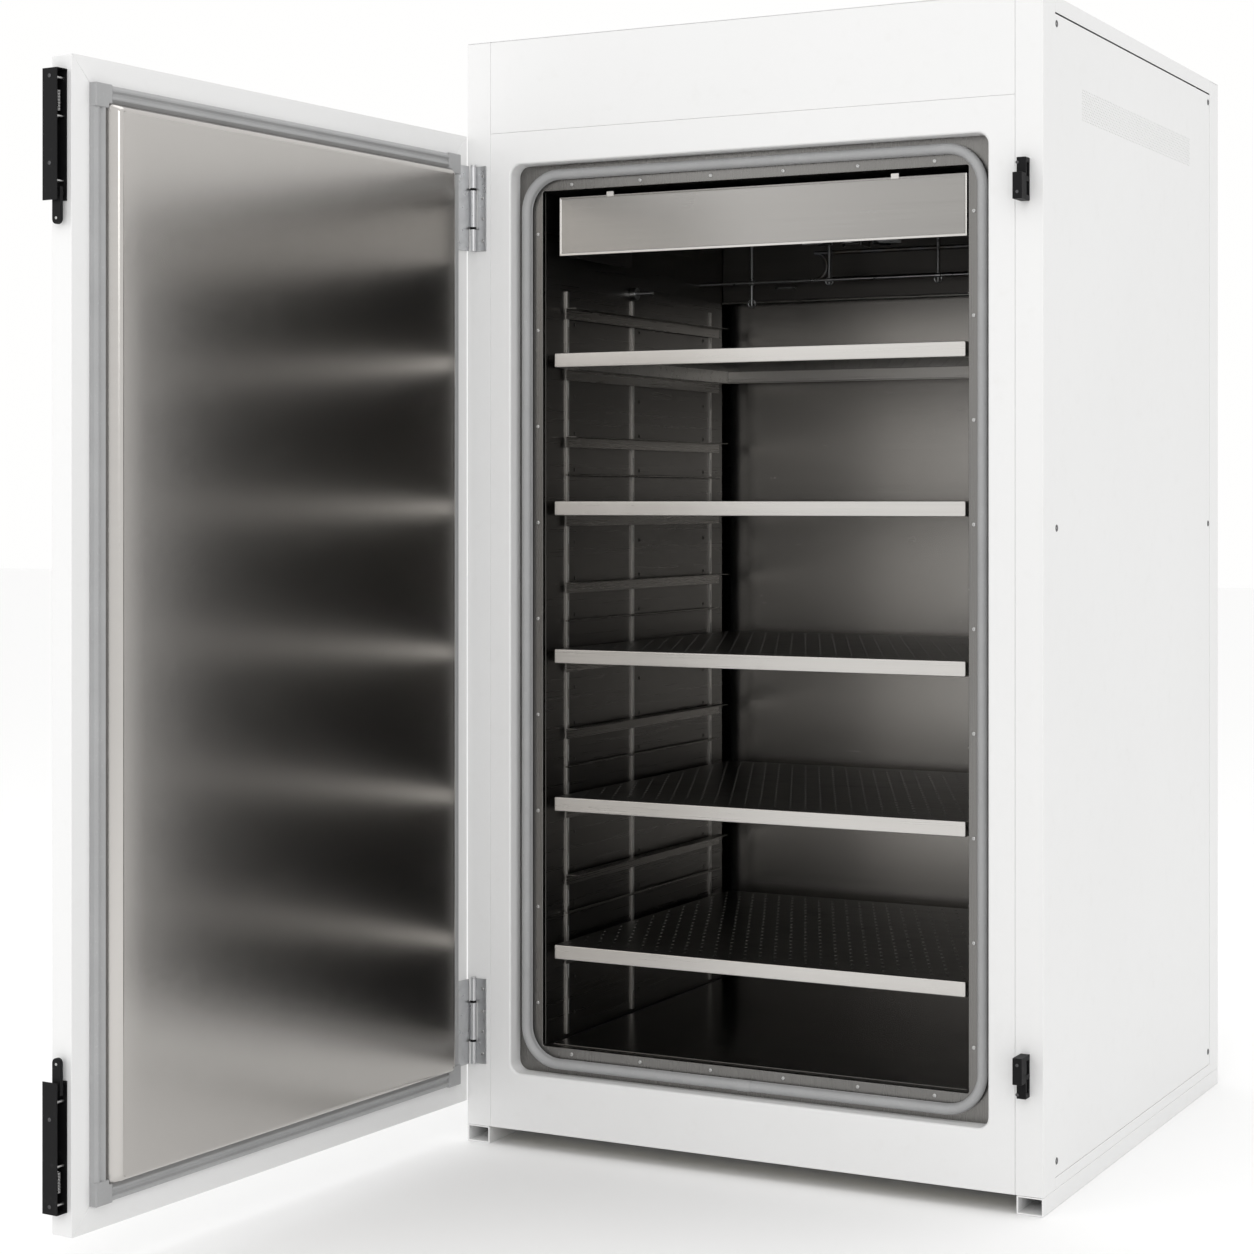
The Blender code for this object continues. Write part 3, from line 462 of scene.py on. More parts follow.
def lies_at(item, axis, value):
    """Whether every point of an edge or a face has this X, Y or Z."""
    return all(near(vertex.co["XYZ".index(axis)], value) for vertex in item.verts)


def on_rim(place, low, high, axes):
    """Whether a place is on the outline of a rectangle."""
    numbers = ["XYZ".index(axis) for axis in axes]
    return any(near(place[n], low[n]) or near(place[n], high[n]) for n in numbers)


def clear_hands():
    """Goes back to object mode with nothing selected, ready for a new primitive."""
    if bpy.context.object and bpy.context.object.mode != "OBJECT":
        bpy.ops.object.mode_set(mode="OBJECT")
    bpy.ops.object.select_all(action="DESELECT")


# %% The bench


class Bench:
    """A piece that is being made."""

    def __init__(self, name, thing):
        thing.name = name
        thing.data.name = name
        self.thing = thing

    @classmethod
    def made(cls, name, size=(1, 1, 1)):
        """Takes up the primitive that was just added, stretched to a size."""
        bpy.context.object.scale = size
        bpy.ops.object.transform_apply(location=True, rotation=True, scale=True)
        return cls(name, bpy.context.object)

    @classmethod
    def block(cls, name, low, high):
        low, high = Vector(low), Vector(high)
        clear_hands()
        bpy.ops.mesh.primitive_cube_add(size=1, location=(low + high) / 2)
        return cls.made(name, high - low)

    @classmethod
    def upright(cls, name, low, high, side):
        """A plane in the XZ plane that faces along Y, -1 for forwards and 1 for backwards."""
        low, high = Vector(low), Vector(high)
        turn = (-side * math.pi / 2, 0, 0)
        clear_hands()
        bpy.ops.mesh.primitive_plane_add(size=1, location=(low + high) / 2, rotation=turn)
        return cls.made(name, (high.x - low.x, high.z - low.z, 1))

    @classmethod
    def grid(cls, name, cells, size, middle, turn=(0, 0, 0)):
        """A plane divided into cells."""
        clear_hands()
        bpy.ops.mesh.primitive_grid_add(
            x_subdivisions=cells[0], y_subdivisions=cells[1], size=1, location=middle, rotation=turn
        )
        return cls.made(name, (*size, 1))

    @classmethod
    def circle(cls, name, middle, radius, points, turn, fill="NGON"):
        """A circle of points, filled unless it is said otherwise."""
        clear_hands()
        bpy.ops.mesh.primitive_circle_add(
            vertices=points, radius=radius, fill_type=fill, location=middle, rotation=turn
        )
        return cls.made(name)

    @classmethod
    def rod(cls, name, start, end, radius, sides=24):
        start, end = Vector(start), Vector(end)
        turn = Vector((0, 0, 1)).rotation_difference(end - start).to_euler()
        clear_hands()
        bpy.ops.mesh.primitive_cylinder_add(
            vertices=sides, radius=radius, depth=(end - start).length,
            location=(start + end) / 2, rotation=turn,
        )
        return cls.made(name)

    @classmethod
    def copy_of(cls, node, name):
        """A merged copy of a CAD node's mesh."""
        mesh = frame["nodes"][node].data.copy()
        mesh.materials.clear()
        thing = bpy.data.objects.new(name, mesh)
        bpy.context.scene.collection.objects.link(thing)
        bench = cls(name, thing)
        bench.pick("VERT", everything)
        bpy.ops.mesh.remove_doubles(threshold=0.00001)
        bpy.ops.mesh.dissolve_limited(angle_limit=math.radians(0.5))
        return bench

    def hold(self, mode):
        """Makes this piece the only selected one, in object or edit mode."""
        clear_hands()
        self.thing.select_set(True)
        bpy.context.view_layer.objects.active = self.thing
        bpy.ops.object.mode_set(mode=mode)

    def pick(self, kind, test):
        """Selects the points, edges or faces that pass test(place, way, item)."""
        self.hold("EDIT")
        bpy.ops.mesh.select_mode(type=kind)
        bpy.ops.mesh.select_all(action="DESELECT")
        mesh = bmesh.from_edit_mesh(self.thing.data)
        mesh.normal_update()
        chosen = 0
        if kind == "VERT":
            found = [(item, item.co, item.normal) for item in mesh.verts]
        elif kind == "EDGE":
            found = []
            for item in mesh.edges:
                start, end = item.verts[0].co, item.verts[1].co
                found.append((item, (start + end) / 2, (end - start).normalized()))
        else:
            found = [(item, item.calc_center_median(), item.normal) for item in mesh.faces]
        for item, place, way in found:
            if test(place, way, item):
                item.select_set(True)
                chosen += 1
        bmesh.update_edit_mesh(self.thing.data)
        return chosen

    def shift(self, x=0.0, y=0.0, z=0.0):
        bpy.ops.transform.translate(value=(x, y, z))

    def extrude(self, x=0.0, y=0.0, z=0.0):
        bpy.ops.mesh.extrude_region_move(TRANSFORM_OT_translate={"value": (x, y, z)})

    def inset(self, width, depth=0.0, each=False):
        bpy.ops.mesh.inset(thickness=width, depth=depth, use_individual=each)

    def round_off(self, radius, segments=3, corners=False, profile=0.5):
        bpy.ops.mesh.bevel(
            offset=radius, segments=segments, profile=profile,
            affect="VERTICES" if corners else "EDGES",
        )

    def delete(self, kind="FACE"):
        bpy.ops.mesh.delete(type=kind)

    def outline(self, low, high, turn):
        """Adds a rectangle of four loose edges to the piece."""
        self.hold("EDIT")
        bpy.ops.mesh.select_all(action="DESELECT")
        middle = (low + high) / 2
        size = [length or 1 for length in high - low]
        bpy.ops.mesh.primitive_plane_add(size=1, location=middle, rotation=turn)
        bpy.ops.transform.resize(value=size, center_override=middle)
        self.delete("ONLY_FACE")

    def cut(self, cutters):
        """Takes the cutters away from the piece, and throws them away."""
        cutter = cutters[0].join(*cutters[1:]) if len(cutters) > 1 else cutters[0]
        self.modify("BOOLEAN", operation="DIFFERENCE", object=cutter.thing)
        bpy.data.objects.remove(cutter.thing)

    def weld(self):
        """Closes the seams that spinning leaves, and makes the normals point out."""
        self.pick("VERT", everything)
        bpy.ops.mesh.remove_doubles(threshold=0.00002)
        bpy.ops.mesh.normals_make_consistent(inside=False)

    def face_towards(self, target):
        """Makes the normals agree, with the largest face pointing along target."""
        self.pick("FACE", everything)
        bpy.ops.mesh.normals_make_consistent(inside=False)
        mesh = bmesh.from_edit_mesh(self.thing.data)
        largest = max(mesh.faces, key=lambda face: face.calc_area())
        if largest.normal.dot(Vector(target)) < 0:
            bpy.ops.mesh.flip_normals()

    def modify(self, kind, **settings):
        self.hold("OBJECT")
        modifier = self.thing.modifiers.new(kind.lower(), kind)
        for name, value in settings.items():
            setattr(modifier, name, value)
        bpy.ops.object.modifier_apply(modifier=modifier.name)

    def wall(self, thickness):
        self.modify("SOLIDIFY", thickness=thickness, offset=-1.0)

    def ease(self, radius, segments=2):
        """Takes the sharpness off every edge that turns by more than 40 degrees."""
        self.modify(
            "BEVEL", width=radius, segments=segments, limit_method="ANGLE",
            angle_limit=math.radians(40), use_clamp_overlap=True,
        )

    def join(self, *others):
        self.hold("OBJECT")
        for other in others:
            other.thing.select_set(True)
        bpy.ops.object.join()
        return self

    def smooth(self, angle=35):
        self.hold("OBJECT")
        bpy.ops.object.shade_smooth_by_angle(angle=math.radians(angle))
        self.modify("WEIGHTED_NORMAL", keep_sharp=True)

    def fit(self, body, finish, *nodes, slot=None, door=False):
        """Ends the work: finish, the body it rides on and the nodes it stands for; slot is not used.
        """
        self.smooth()
        if door:
            self.thing.data.transform(TO_OPEN)
        self.thing.data.materials.clear()
        self.thing.data.materials.append(FINISHES[finish])
        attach(self.thing, body)
        if nodes:
            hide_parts(*nodes)
        clear_hands()
        return self.thing


print("bench ready, selected objects:", len(bpy.context.selected_objects))

# %% [markdown]
# ## Screws and rivets
#
# A fastener is modelled once: a short cylinder with a domed head and a sunk socket. The copies
# are placed in rows and joined, so that each panel's fasteners are one piece.

# %% Fasteners
FRONT = Vector((0, -1, 0))
PANEL_SCREW = (0.0062, 0.0026)  # radius of a head, and how far it stands out
SMALL_SCREW = (0.0034, 0.0016)
HINGE_SCREW = (0.0030, 0.0012)
LATCH_SCREW = (0.0030, 0.0007)
KEEPER_SCREW = (0.0026, 0.0006)
LEVER_SCREW = (0.0022, 0.0006)


def fasteners(name, places, way, size, body, finish, door=False):
    """Round heads with a socket, standing at the places and facing one way."""
    radius, rise = size
    head = Bench.rod("head", (0, 0.0005, 0), (0, -rise, 0), radius, 16)
    head.pick("EDGE", lambda place, way, item: lies_at(item, "Y", -rise))
    head.round_off(rise * 0.6, 3)
    head.pick("FACE", facing("Y", -1))
    head.inset(radius * 0.28)
    head.inset(radius * 0.08, -rise * 0.75)
    head.hold("OBJECT")
    turn = FRONT.rotation_difference(Vector(way)).to_matrix().to_4x4()
    copies = []
    for place in places:
        mesh = head.thing.data.copy()
        mesh.transform(Matrix.Translation(place) @ turn)
        copy = bpy.data.objects.new(name, mesh)
        bpy.context.scene.collection.objects.link(copy)
        copies.append(Bench(name, copy))
    bpy.data.objects.remove(head.thing)
    copies[0].join(*copies[1:])
    copies[0].thing.name = name
    print(name, len(places))
    copies[0].fit(body, finish, door=door)


# %% [markdown]
# ## Frame and covers
#
# Posts, roof, base and back are folded sheets whose CAD shape is already right. What is missing
# is the edge: a real fold is round, and its thin highlight is what makes sheet metal look like
# sheet metal. A merged copy of each node gets all of its edges eased and stands for the node.

# %% Ease the plain covers


def eased(node, body, finish, radius, segments=2, ending="piece"):
    """A copy of a CAD node with its edges eased, which stands for the node."""
    copy = Bench.copy_of(node, f"{node}_{ending}")
    copy.ease(radius, segments)
    copy.fit(body, finish, node)


COVERS = [
    "corner_post_front_left", "corner_post_front_right", "corner_post_rear_left",
    "corner_post_rear_right", "fascia_panel", "base_pan", "roof_panel",
]
for node in COVERS:
    eased(node, "cabinet", "powder_coat", 0.0007, ending="sheet")
for side in ("left", "right"):
    eased("base_runner_" + side, "cabinet", "powder_coat", 0.0013, 3, "tube")
print("eased covers:", len(COVERS) + 2)

# %% [markdown]
# ## A sheet with a pressed or folded opening
#
# Three pieces are flat sheets with a rounded rectangle folded out of them: the front panel,
# the seal flange and the door pan. Each starts from the rounded rectangle: a plane whose corners
# are bevelled, pushed out to the depth of the fold. The flat sheet round it is filled in, and
# then the edge where they meet is rounded like a real bend.

# %% Pressed sheet


def pressed_sheet(name, outer, inner, plane, depth, corner, fold, side, closed=False):
    """A flat sheet from an outer to an inner outline, folded to a depth along the inner one."""
    low, high = inner
    sheet = Bench.upright(name, (low.x, plane, low.z), (high.x, plane, high.z), side)
    sheet.pick("VERT", everything)
    sheet.round_off(corner, 8, corners=True)
    sheet.pick("FACE", everything)
    sheet.extrude(y=depth)
    if not closed:
        sheet.delete()
    sheet.pick("FACE", lambda place, way, item: near(place.y, plane))
    sheet.delete()
    rim = [Vector((point.x, plane, point.z)) for point in outer]
    sheet.outline(*rim, (math.pi / 2, 0, 0))
    sheet.pick("EDGE", lambda place, way, item: near(place.y, plane) and len(item.link_faces) < 2)
    bpy.ops.mesh.fill()

    def on_fold(place, way, item):
        inside = low.x - 1e-4 < place.x < high.x + 1e-4 and low.z - 1e-4 < place.z < high.z + 1e-4
        return lies_at(item, "Y", plane) and inside

    sheet.pick("EDGE", on_fold)
    sheet.round_off(fold, 4)
    sheet.face_towards((0, side, 0))
    return sheet


# %% Front panel
SHEET = 0.002
FLANGE_OVERLAP = 0.012
CUTOUT_CORNER = 0.020
CUTOUT_FOLD = 0.0045
panel_low, panel_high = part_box("front_panel")
flange_low, flange_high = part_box("seal_flange")
overlap = Vector((FLANGE_OVERLAP, 0, FLANGE_OVERLAP))
cutout = (flange_low + overlap, flange_high - overlap)
front = pressed_sheet(
    "front_panel_sheet", (panel_low, panel_high), cutout, panel_low.y,
    panel_high.y - panel_low.y, CUTOUT_CORNER, CUTOUT_FOLD, -1,
)
front.wall(SHEET)
front.ease(0.0005)
front.fit("cabinet", "powder_coat", "front_panel")
print("cut-out:", [round(value, 3) for value in cutout[1] - cutout[0]])

# %% [markdown]
# ## Side and back panels
#
# Each side panel has a field of very fine holes high up, which lets the heat of the machine
# space out. The field is a grid whose every second point is bevelled into a small ring; the
# faces inside the rings are deleted. The rest of the sheet is filled in round the field.

# %% Perforation
ROUND_HOLE = 0.0858


def punch(sheet, low, step, hole, keep):
    """Opens a round hole at every second point of a grid; keep says which points may be holes."""

    def at_hole(place, way, item):
        counts = [round((place - low).dot(line) / line.length_squared) for line in step]
        return sum(counts) % 2 == 0 and keep(place)

    holes = sheet.pick("VERT", at_hole)
    sheet.round_off(hole, 2, corners=True, profile=ROUND_HOLE)
    sheet.pick("FACE", lambda place, way, item: item.calc_area() < 3.3 * hole * hole)
    sheet.delete()
    return holes


# %% Side panels
VENT_HOLE = 0.0014
VENT_PITCH = 0.0046
VENT_FRONT = 0.205
VENT_LENGTH = 0.684
VENT_DROP = 0.191
VENT_HEIGHT = 0.060
PANEL_SEAM = 0.0022
SET_BACK = 0.0010
roof_low, roof_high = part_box("roof_panel")


def side_panel(side, out):
    low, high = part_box("side_panel_" + side)
    plane = (high.x if out > 0 else low.x) - out * SET_BACK
    vent_low = Vector((plane, roof_low.y + VENT_FRONT, roof_high.z - VENT_DROP))
    vent_high = vent_low + Vector((0, VENT_LENGTH, VENT_HEIGHT))
    cells = (round(VENT_HEIGHT / VENT_PITCH), round(VENT_LENGTH / VENT_PITCH))
    panel = Bench.grid(
        f"side_panel_{side}_sheet", cells, (VENT_HEIGHT, VENT_LENGTH), (vent_low + vent_high) / 2,
        (0, out * math.pi / 2, 0),
    )
    step = (Vector((0, VENT_LENGTH / cells[1], 0)), Vector((0, 0, VENT_HEIGHT / cells[0])))
    border = Vector((0, VENT_PITCH / 2, VENT_PITCH / 2))
    inner_low, inner_high = vent_low + border, vent_high - border

    def inside(place):
        return inner_low.y < place.y < inner_high.y and inner_low.z < place.z < inner_high.z

    holes = punch(panel, vent_low, step, VENT_HOLE, inside)
    rim = (Vector((plane, low.y, low.z)), Vector((plane, high.y, high.z - PANEL_SEAM)))
    panel.outline(*rim, (0, math.pi / 2, 0))

    def outlines(place, way, item):
        on_vent = on_rim(place, vent_low, vent_high, "YZ")
        return len(item.link_faces) == 0 or (len(item.link_faces) == 1 and on_vent)

    panel.pick("EDGE", outlines)
    bpy.ops.mesh.fill()
    panel.face_towards((out, 0, 0))
    panel.wall(SHEET)
    panel.pick("EDGE", lambda place, way, item: on_rim(place, *rim, "YZ"))
    panel.round_off(0.0005, 2)
    panel.fit("cabinet", "powder_coat", "side_panel_" + side)
    return holes


for side, out in (("left", -1), ("right", 1)):
    print("vent holes on the", side, "side:", side_panel(side, out))

# %% Back panel
back = Bench.copy_of("back_panel", "back_panel_sheet")
back_low, back_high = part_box("back_panel")
back.pick("FACE", facing("Y", 1))
back.inset(0.055)
back.inset(0.004, -0.0008)
back.ease(0.0006)
back.fit("cabinet", "powder_coat", "back_panel")
print("back panel:", [round(value, 3) for value in back_high - back_low])

# %% [markdown]
# Panel screws sit just inside the edges of the sides and the back. They are blackened, so they
# show as small dark dots on the white.

# %% Panel screws
SCREW_EDGE = 0.0095
SIDE_SCREW_ENDS = (0.026, 0.018)
SIDE_SCREW_LIFT = 0.110
BACK_SCREW_EDGES = (0.018, 0.040)
SCREW_RISE = PANEL_SCREW[1]


for side, out in (("left", -1), ("right", 1)):
    low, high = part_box("side_panel_" + side)
    plane = (high.x if out > 0 else low.x) - out * SCREW_RISE
    places = []
    foot, head = SIDE_SCREW_ENDS
    for z in (low.z + foot, (low.z + high.z) / 2 + SIDE_SCREW_LIFT, high.z - head):
        places += [(plane, low.y + SCREW_EDGE, z), (plane, high.y - SCREW_EDGE, z)]
    fasteners("side_screws_" + side, places, (out, 0, 0), PANEL_SCREW, "cabinet", "dark_screw")
in_x, in_z = BACK_SCREW_EDGES
places = []
for z in (back_low.z + in_z, (back_low.z + back_high.z) / 2, back_high.z - in_z):
    for x in (back_low.x + in_x, (back_low.x + back_high.x) / 2, back_high.x - in_x):
        places.append((x, back_high.y - SCREW_RISE, z))
fasteners("back_screws", places, (0, 1, 0), PANEL_SCREW, "cabinet", "dark_screw")

# %% [markdown]
# ## Seal flange and chamber seal
#
# A stainless flange closes the gap between the front panel and the chamber. Its inner edge is
# turned back by a few millimetres, which gives the bright line round the mouth. The silicone
# seal lies in front of it: a thick round tube with a small lip inside it.

# %% Seal flange
THIN = 0.0015
LINING = 0.0012
LIP = 0.006
MOUTH_CORNER = 0.004
MOUTH_FOLD = 0.0012
tank_low, tank_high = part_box("chamber_tank")
baffle_low, baffle_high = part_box("rear_baffle")
mouth_low = Vector((baffle_low.x, flange_low.y, tank_low.z + THIN))
mouth_high = Vector((baffle_high.x, flange_low.y, tank_high.z - THIN))
flange = pressed_sheet(
    "seal_flange_sheet", (flange_low, flange_high), (mouth_low, mouth_high), flange_low.y,
    LIP, MOUTH_CORNER, MOUTH_FOLD, -1,
)
flange.wall(LINING)
# The flange takes stainless darkened as painted shade.
flange.fit("cabinet", "flange_painted_shade", "seal_flange")
print("mouth:", [round(value, 3) for value in mouth_high - mouth_low])

# %% Chamber seal
gasket_low, gasket_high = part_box("chamber_gasket")
SEAL_CORNER = 0.074
SEAL_HALF = (gasket_high.y - gasket_low.y) / 2


def seal_ring(name, inset, half, place, sides):
    """A round bar bent into a rounded rectangle, inset from the seal's outer edge."""
    low = gasket_low + Vector((inset, 0, inset))
    high = gasket_high - Vector((inset, 0, inset))
    ring = Bench.upright(name, (low.x, place, low.z), (high.x, place, high.z), -1)
    ring.pick("VERT", everything)
    ring.round_off(SEAL_CORNER - inset, 12, corners=True)
    ring.pick("FACE", everything)
    ring.delete("ONLY_FACE")
    ring.hold("OBJECT")
    bpy.ops.object.convert(target="CURVE")
    ring.thing.data.bevel_depth = half
    ring.thing.data.bevel_resolution = sides
    bpy.ops.object.convert(target="MESH")
    return ring


gasket_front = gasket_low.y
tube = seal_ring("chamber_seal", SEAL_HALF, SEAL_HALF - 0.0002, gasket_front + SEAL_HALF, 6)
lip = seal_ring("seal_lip", 2 * SEAL_HALF - 0.0030, 0.0030, gasket_high.y - 0.0030, 3)
seal = tube.join(lip)
seal.face_towards((0, -1, 0))
seal.fit("cabinet", "silicone", "chamber_gasket")
print("seal:", [round(value, 3) for value in gasket_high - gasket_low])

# %% Joint of the seal
JOINT_HALF = Vector((0.013, 0, 0))
joint_middle = Vector((
    (gasket_low.x + gasket_high.x) / 2, gasket_front + SEAL_HALF, gasket_low.z + SEAL_HALF
))
joint = Bench.rod(
    "seal_joint", joint_middle - JOINT_HALF, joint_middle + JOINT_HALF, SEAL_HALF + 0.0006, 28
)
joint.pick("EDGE", lambda place, way, item: abs(way.x) < 0.5)
joint.round_off(0.0012, 2)
joint.fit("cabinet", "silicone")
print("joint at x", round(joint_middle.x, 3))

# %% Flange screws
SCREW_LINE = 0.0095


def along(start, end, count):
    """Evenly spaced places on a line, half a step in from its ends."""
    start, end = Vector(start), Vector(end)
    return [start.lerp(end, (index + 0.5) / count) for index in range(count)]


line_low = mouth_low - Vector((SCREW_LINE, 0, SCREW_LINE))
line_high = mouth_high + Vector((SCREW_LINE, 0, SCREW_LINE))
flange_places = []
for x in (line_low.x, line_high.x):
    flange_places += along((x, flange_low.y, line_low.z), (x, flange_low.y, line_high.z), 9)
for z in (line_low.z, line_high.z):
    flange_places += along((line_low.x, flange_low.y, z), (line_high.x, flange_low.y, z), 6)
fasteners("flange_screws", flange_places, (0, -1, 0), SMALL_SCREW, "cabinet", "screw")

# %% [markdown]
# ## Chamber walls
#
# Each side wall is a sheet with rows of small round holes, and three uprights stand on it. An
# upright is a shallow channel with a slot every few centimetres, which the shelf rails hook
# into. It starts as a plane divided into cells; every second cell is inset and deleted.

# %% Side walls
WALL_START = 0.010
UPRIGHTS = (0.126, 0.386, 0.730)
WALL_HOLES = (0.156, 0.416, 0.700)
WALL_HOLE_RADIUS = 0.0033
FIRST_HOLE = 0.034
WALL_DEPTH = 0.790
UPRIGHT_ENDS = (0.006, 0.175)
UPRIGHT_SLOTS = 20
SLOT_BORDER = 0.0023
UPRIGHT_WIDTH = 0.008
UPRIGHT_PROUD = 0.0035
cabinet_front = panel_low.y
wall_top = mouth_high.z - 0.0004
wall_end = cabinet_front + WALL_DEPTH
shelf_heights = [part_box(f"shelf_{number}")[1].z for number in range(1, 6)]
PITCH = shelf_heights[1] - shelf_heights[0]
HOLE_PITCH = PITCH / 4
upright_low = mouth_low.z + UPRIGHT_ENDS[0]
upright_high = mouth_high.z - UPRIGHT_ENDS[1]


def side_wall(side, inward):
    """One wall sheet with its holes, and three uprights."""
    face = mouth_low.x if inward > 0 else mouth_high.x
    back = face - inward * THIN
    low = (min(face, back), flange_high.y + WALL_START, mouth_low.z + 0.0004)
    high = (max(face, back), wall_end, wall_top)
    wall = Bench.block("chamber_wall_" + side, low, high)
    cutters = []
    for number in range(int((upright_high - upright_low) / HOLE_PITCH)):
        z = upright_low + FIRST_HOLE + number * HOLE_PITCH
        for place in WALL_HOLES:
            y = cabinet_front + place
            ends = ((face - 0.01, y, z), (face + 0.01, y, z))
            cutters.append(Bench.rod("cut", *ends, WALL_HOLE_RADIUS, 12))
    wall.cut(cutters)
    wall.ease(0.0004, 1)
    # The wall takes stainless darkened as painted shade.
    wall.fit("cabinet", "wall_painted_shade", "side_duct_" + side)
    for index, place in enumerate(UPRIGHTS, start=1):
        slotted_channel(f"upright_{index}_{side}", face, inward, cabinet_front + place)


def slotted_channel(name, face, inward, middle):
    """An upright that stands on a side wall."""
    cells = 2 * UPRIGHT_SLOTS + 1
    height = upright_high - upright_low
    channel = Bench.grid(
        name, (cells, 1), (height, UPRIGHT_WIDTH),
        (face + inward * UPRIGHT_PROUD, middle, (upright_low + upright_high) / 2),
        (0, inward * math.pi / 2, 0),
    )
    step = height / cells
    channel.pick("FACE", lambda place, way, item: int((place.z - upright_low) / step) % 2 == 1)
    channel.inset(SLOT_BORDER, each=True)
    channel.delete()
    channel.pick("EDGE", lambda place, way, item: near(abs(place.y - middle), UPRIGHT_WIDTH / 2, 1e-5))
    channel.extrude(x=-inward * UPRIGHT_PROUD)
    channel.face_towards((inward, 0, 0))
    channel.wall(0.0010)
    channel.ease(0.0004, 2)
    # The upright takes lit stainless, a painted highlight that makes its flank a bright line.
    channel.fit("cabinet", "bright_z")


side_wall("left", 1)
side_wall("right", -1)
print("shelf pitch:", round(PITCH, 3), "uprights:", 2 * len(UPRIGHTS))

# %% Back sheet, tank and deck
# The rear sheet, the tank and the chamber floor take stainless darkened as painted shade.
baffle = Bench.copy_of("rear_baffle", "rear_baffle_sheet")
baffle.pick("FACE", facing("Y", -1))
baffle.inset(0.030)
baffle.inset(0.003, -0.0006)
baffle.ease(0.0005)
baffle.fit("cabinet", "back_painted_shade", "rear_baffle")
eased("chamber_tank", "cabinet", "wall_painted_shade", 0.0006, ending="sheet")
floor_sheet = Bench.block(
    "chamber_floor", (mouth_low.x + 0.010, flange_high.y + 0.020, mouth_low.z),
    (mouth_high.x - 0.010, baffle_low.y - 0.020, mouth_low.z + 0.0015),
)
floor_sheet.ease(0.0006)
floor_sheet.fit("cabinet", "floor_painted_shade")
print("chamber depth:", round(baffle_low.y - flange_high.y, 3))

# %% [markdown]
# ## Shelves
#
# A shelf is a tray turned upside down: a perforated sheet with a lip folded down all round and
# a narrow hem turned in under it. The sheet is a grid whose every second point becomes a hole.
# Its rim is extruded down for the lip and again inwards for the hem, and the folds are rounded.

# %% Shelves
SHELF_HOLE = 0.0031
SHELF_STEP_X = 0.0145
SHELF_STEP_Y = 0.0330
SHELF_BORDER = 0.014
SHELF_LIP = 0.026
SHELF_HEM = 0.009
SHELF_FOLD = 0.0022
SHELF_SHEET = 0.0013


def shelf(node, name):
    low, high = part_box(node)
    size = high - low
    counts = (round(size.x / SHELF_STEP_X), round(size.y / SHELF_STEP_Y))
    middle = ((low.x + high.x) / 2, (low.y + high.y) / 2, high.z)
    tray = Bench.grid(name, counts, (size.x, size.y), middle)
    corner = Vector((low.x, low.y, high.z))
    step = (Vector((size.x / counts[0], 0, 0)), Vector((0, size.y / counts[1], 0)))

    def inside(place):
        from_x = min(place.x - low.x, high.x - place.x)
        from_y = min(place.y - low.y, high.y - place.y)
        return min(from_x, from_y) > SHELF_BORDER

    holes = punch(tray, corner, step, SHELF_HOLE, inside)

    def rim(place, way, item):
        sides = [lies_at(item, axis, end["XYZ".index(axis)]) for axis in "XY" for end in (low, high)]
        return any(sides) and len(item.link_faces) == 1

    tray.pick("EDGE", rim)
    tray.extrude(z=-SHELF_LIP)
    tray.extrude()
    hemmed = (1 - 2 * SHELF_HEM / size.x, 1 - 2 * SHELF_HEM / size.y, 1)
    bpy.ops.transform.resize(value=hemmed, center_override=middle)

    def fold(place, way, item):
        ends = [vertex.co for vertex in item.verts]
        at_x = all(on_rim(end, low, high, "X") for end in ends)
        at_y = all(on_rim(end, low, high, "Y") for end in ends)
        level = near(ends[0].z, ends[1].z)
        return len(item.link_faces) == 2 and ((at_x or at_y) if level else (at_x and at_y))

    tray.pick("EDGE", fold)
    tray.round_off(SHELF_FOLD, 3)
    tray.face_towards((0, 0, 1))
    tray.wall(SHELF_SHEET)
    tray.fit(node, "shelf_painted_shade", node)
    # The top is stainless darkened as deep painted shade, the folded lip lit stainless as a
    # painted highlight, and the walls of the holes the chamber's painted shade.
    tray.thing.data.materials.append(FINISHES["bright_x"])
    tray.thing.data.materials.append(FINISHES["wall_painted_shade"])
    for polygon in tray.thing.data.polygons:
        level = abs(polygon.normal.z)
        folded = polygon.center.z < high.z - SHELF_SHEET - 0.0001 or level < 0.9
        in_hole = level < 0.5 and polygon.area < 0.00001
        polygon.material_index = 2 if in_hole else int(folded)
    return holes


for number in range(1, 6):
    node = f"shelf_{number}"
    print(node, "has", shelf(node, node + "_tray"), "holes")

# %% [markdown]
# ## Rails
#
# Ten angle rails carry the shelves, and spare ones are hooked in between them for other
# spacings. The CAD rail is copied, its edges are eased, and the spares are the same mesh moved
# up by part of the shelf pitch. A flat guide strip lies below each spare.

# %% Rails
SPARE_RISE = 0.54
TOP_SPARE_RISE = 0.42
STRIP_RISE = 0.27
STRIP_HEIGHT = 0.004
STRIP_PROUD = 0.005


def rail(node, name, rise, *stands_for):
    angle = Bench.copy_of(node, name)
    angle.ease(0.0004)
    angle.thing.data.transform(Matrix.Translation((0, 0, rise)))
    # Rails and guide strips take stainless darkened as painted shade.
    angle.fit("cabinet", "rail_painted_shade", *stands_for)


def strip(node, name, rise):
    low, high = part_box(node)
    bottom = high.z + rise
    wall_x, far_x = (low.x, low.x + STRIP_PROUD)
    if node.endswith("right"):
        wall_x, far_x = (high.x - STRIP_PROUD, high.x)
    bar = Bench.block(name, (wall_x, low.y, bottom), (far_x, high.y, bottom + STRIP_HEIGHT))
    bar.pick("EDGE", lambda place, way, item: abs(way.y) > 0.99)
    bar.round_off(0.0015, 3)
    bar.fit("cabinet", "rail_painted_shade")


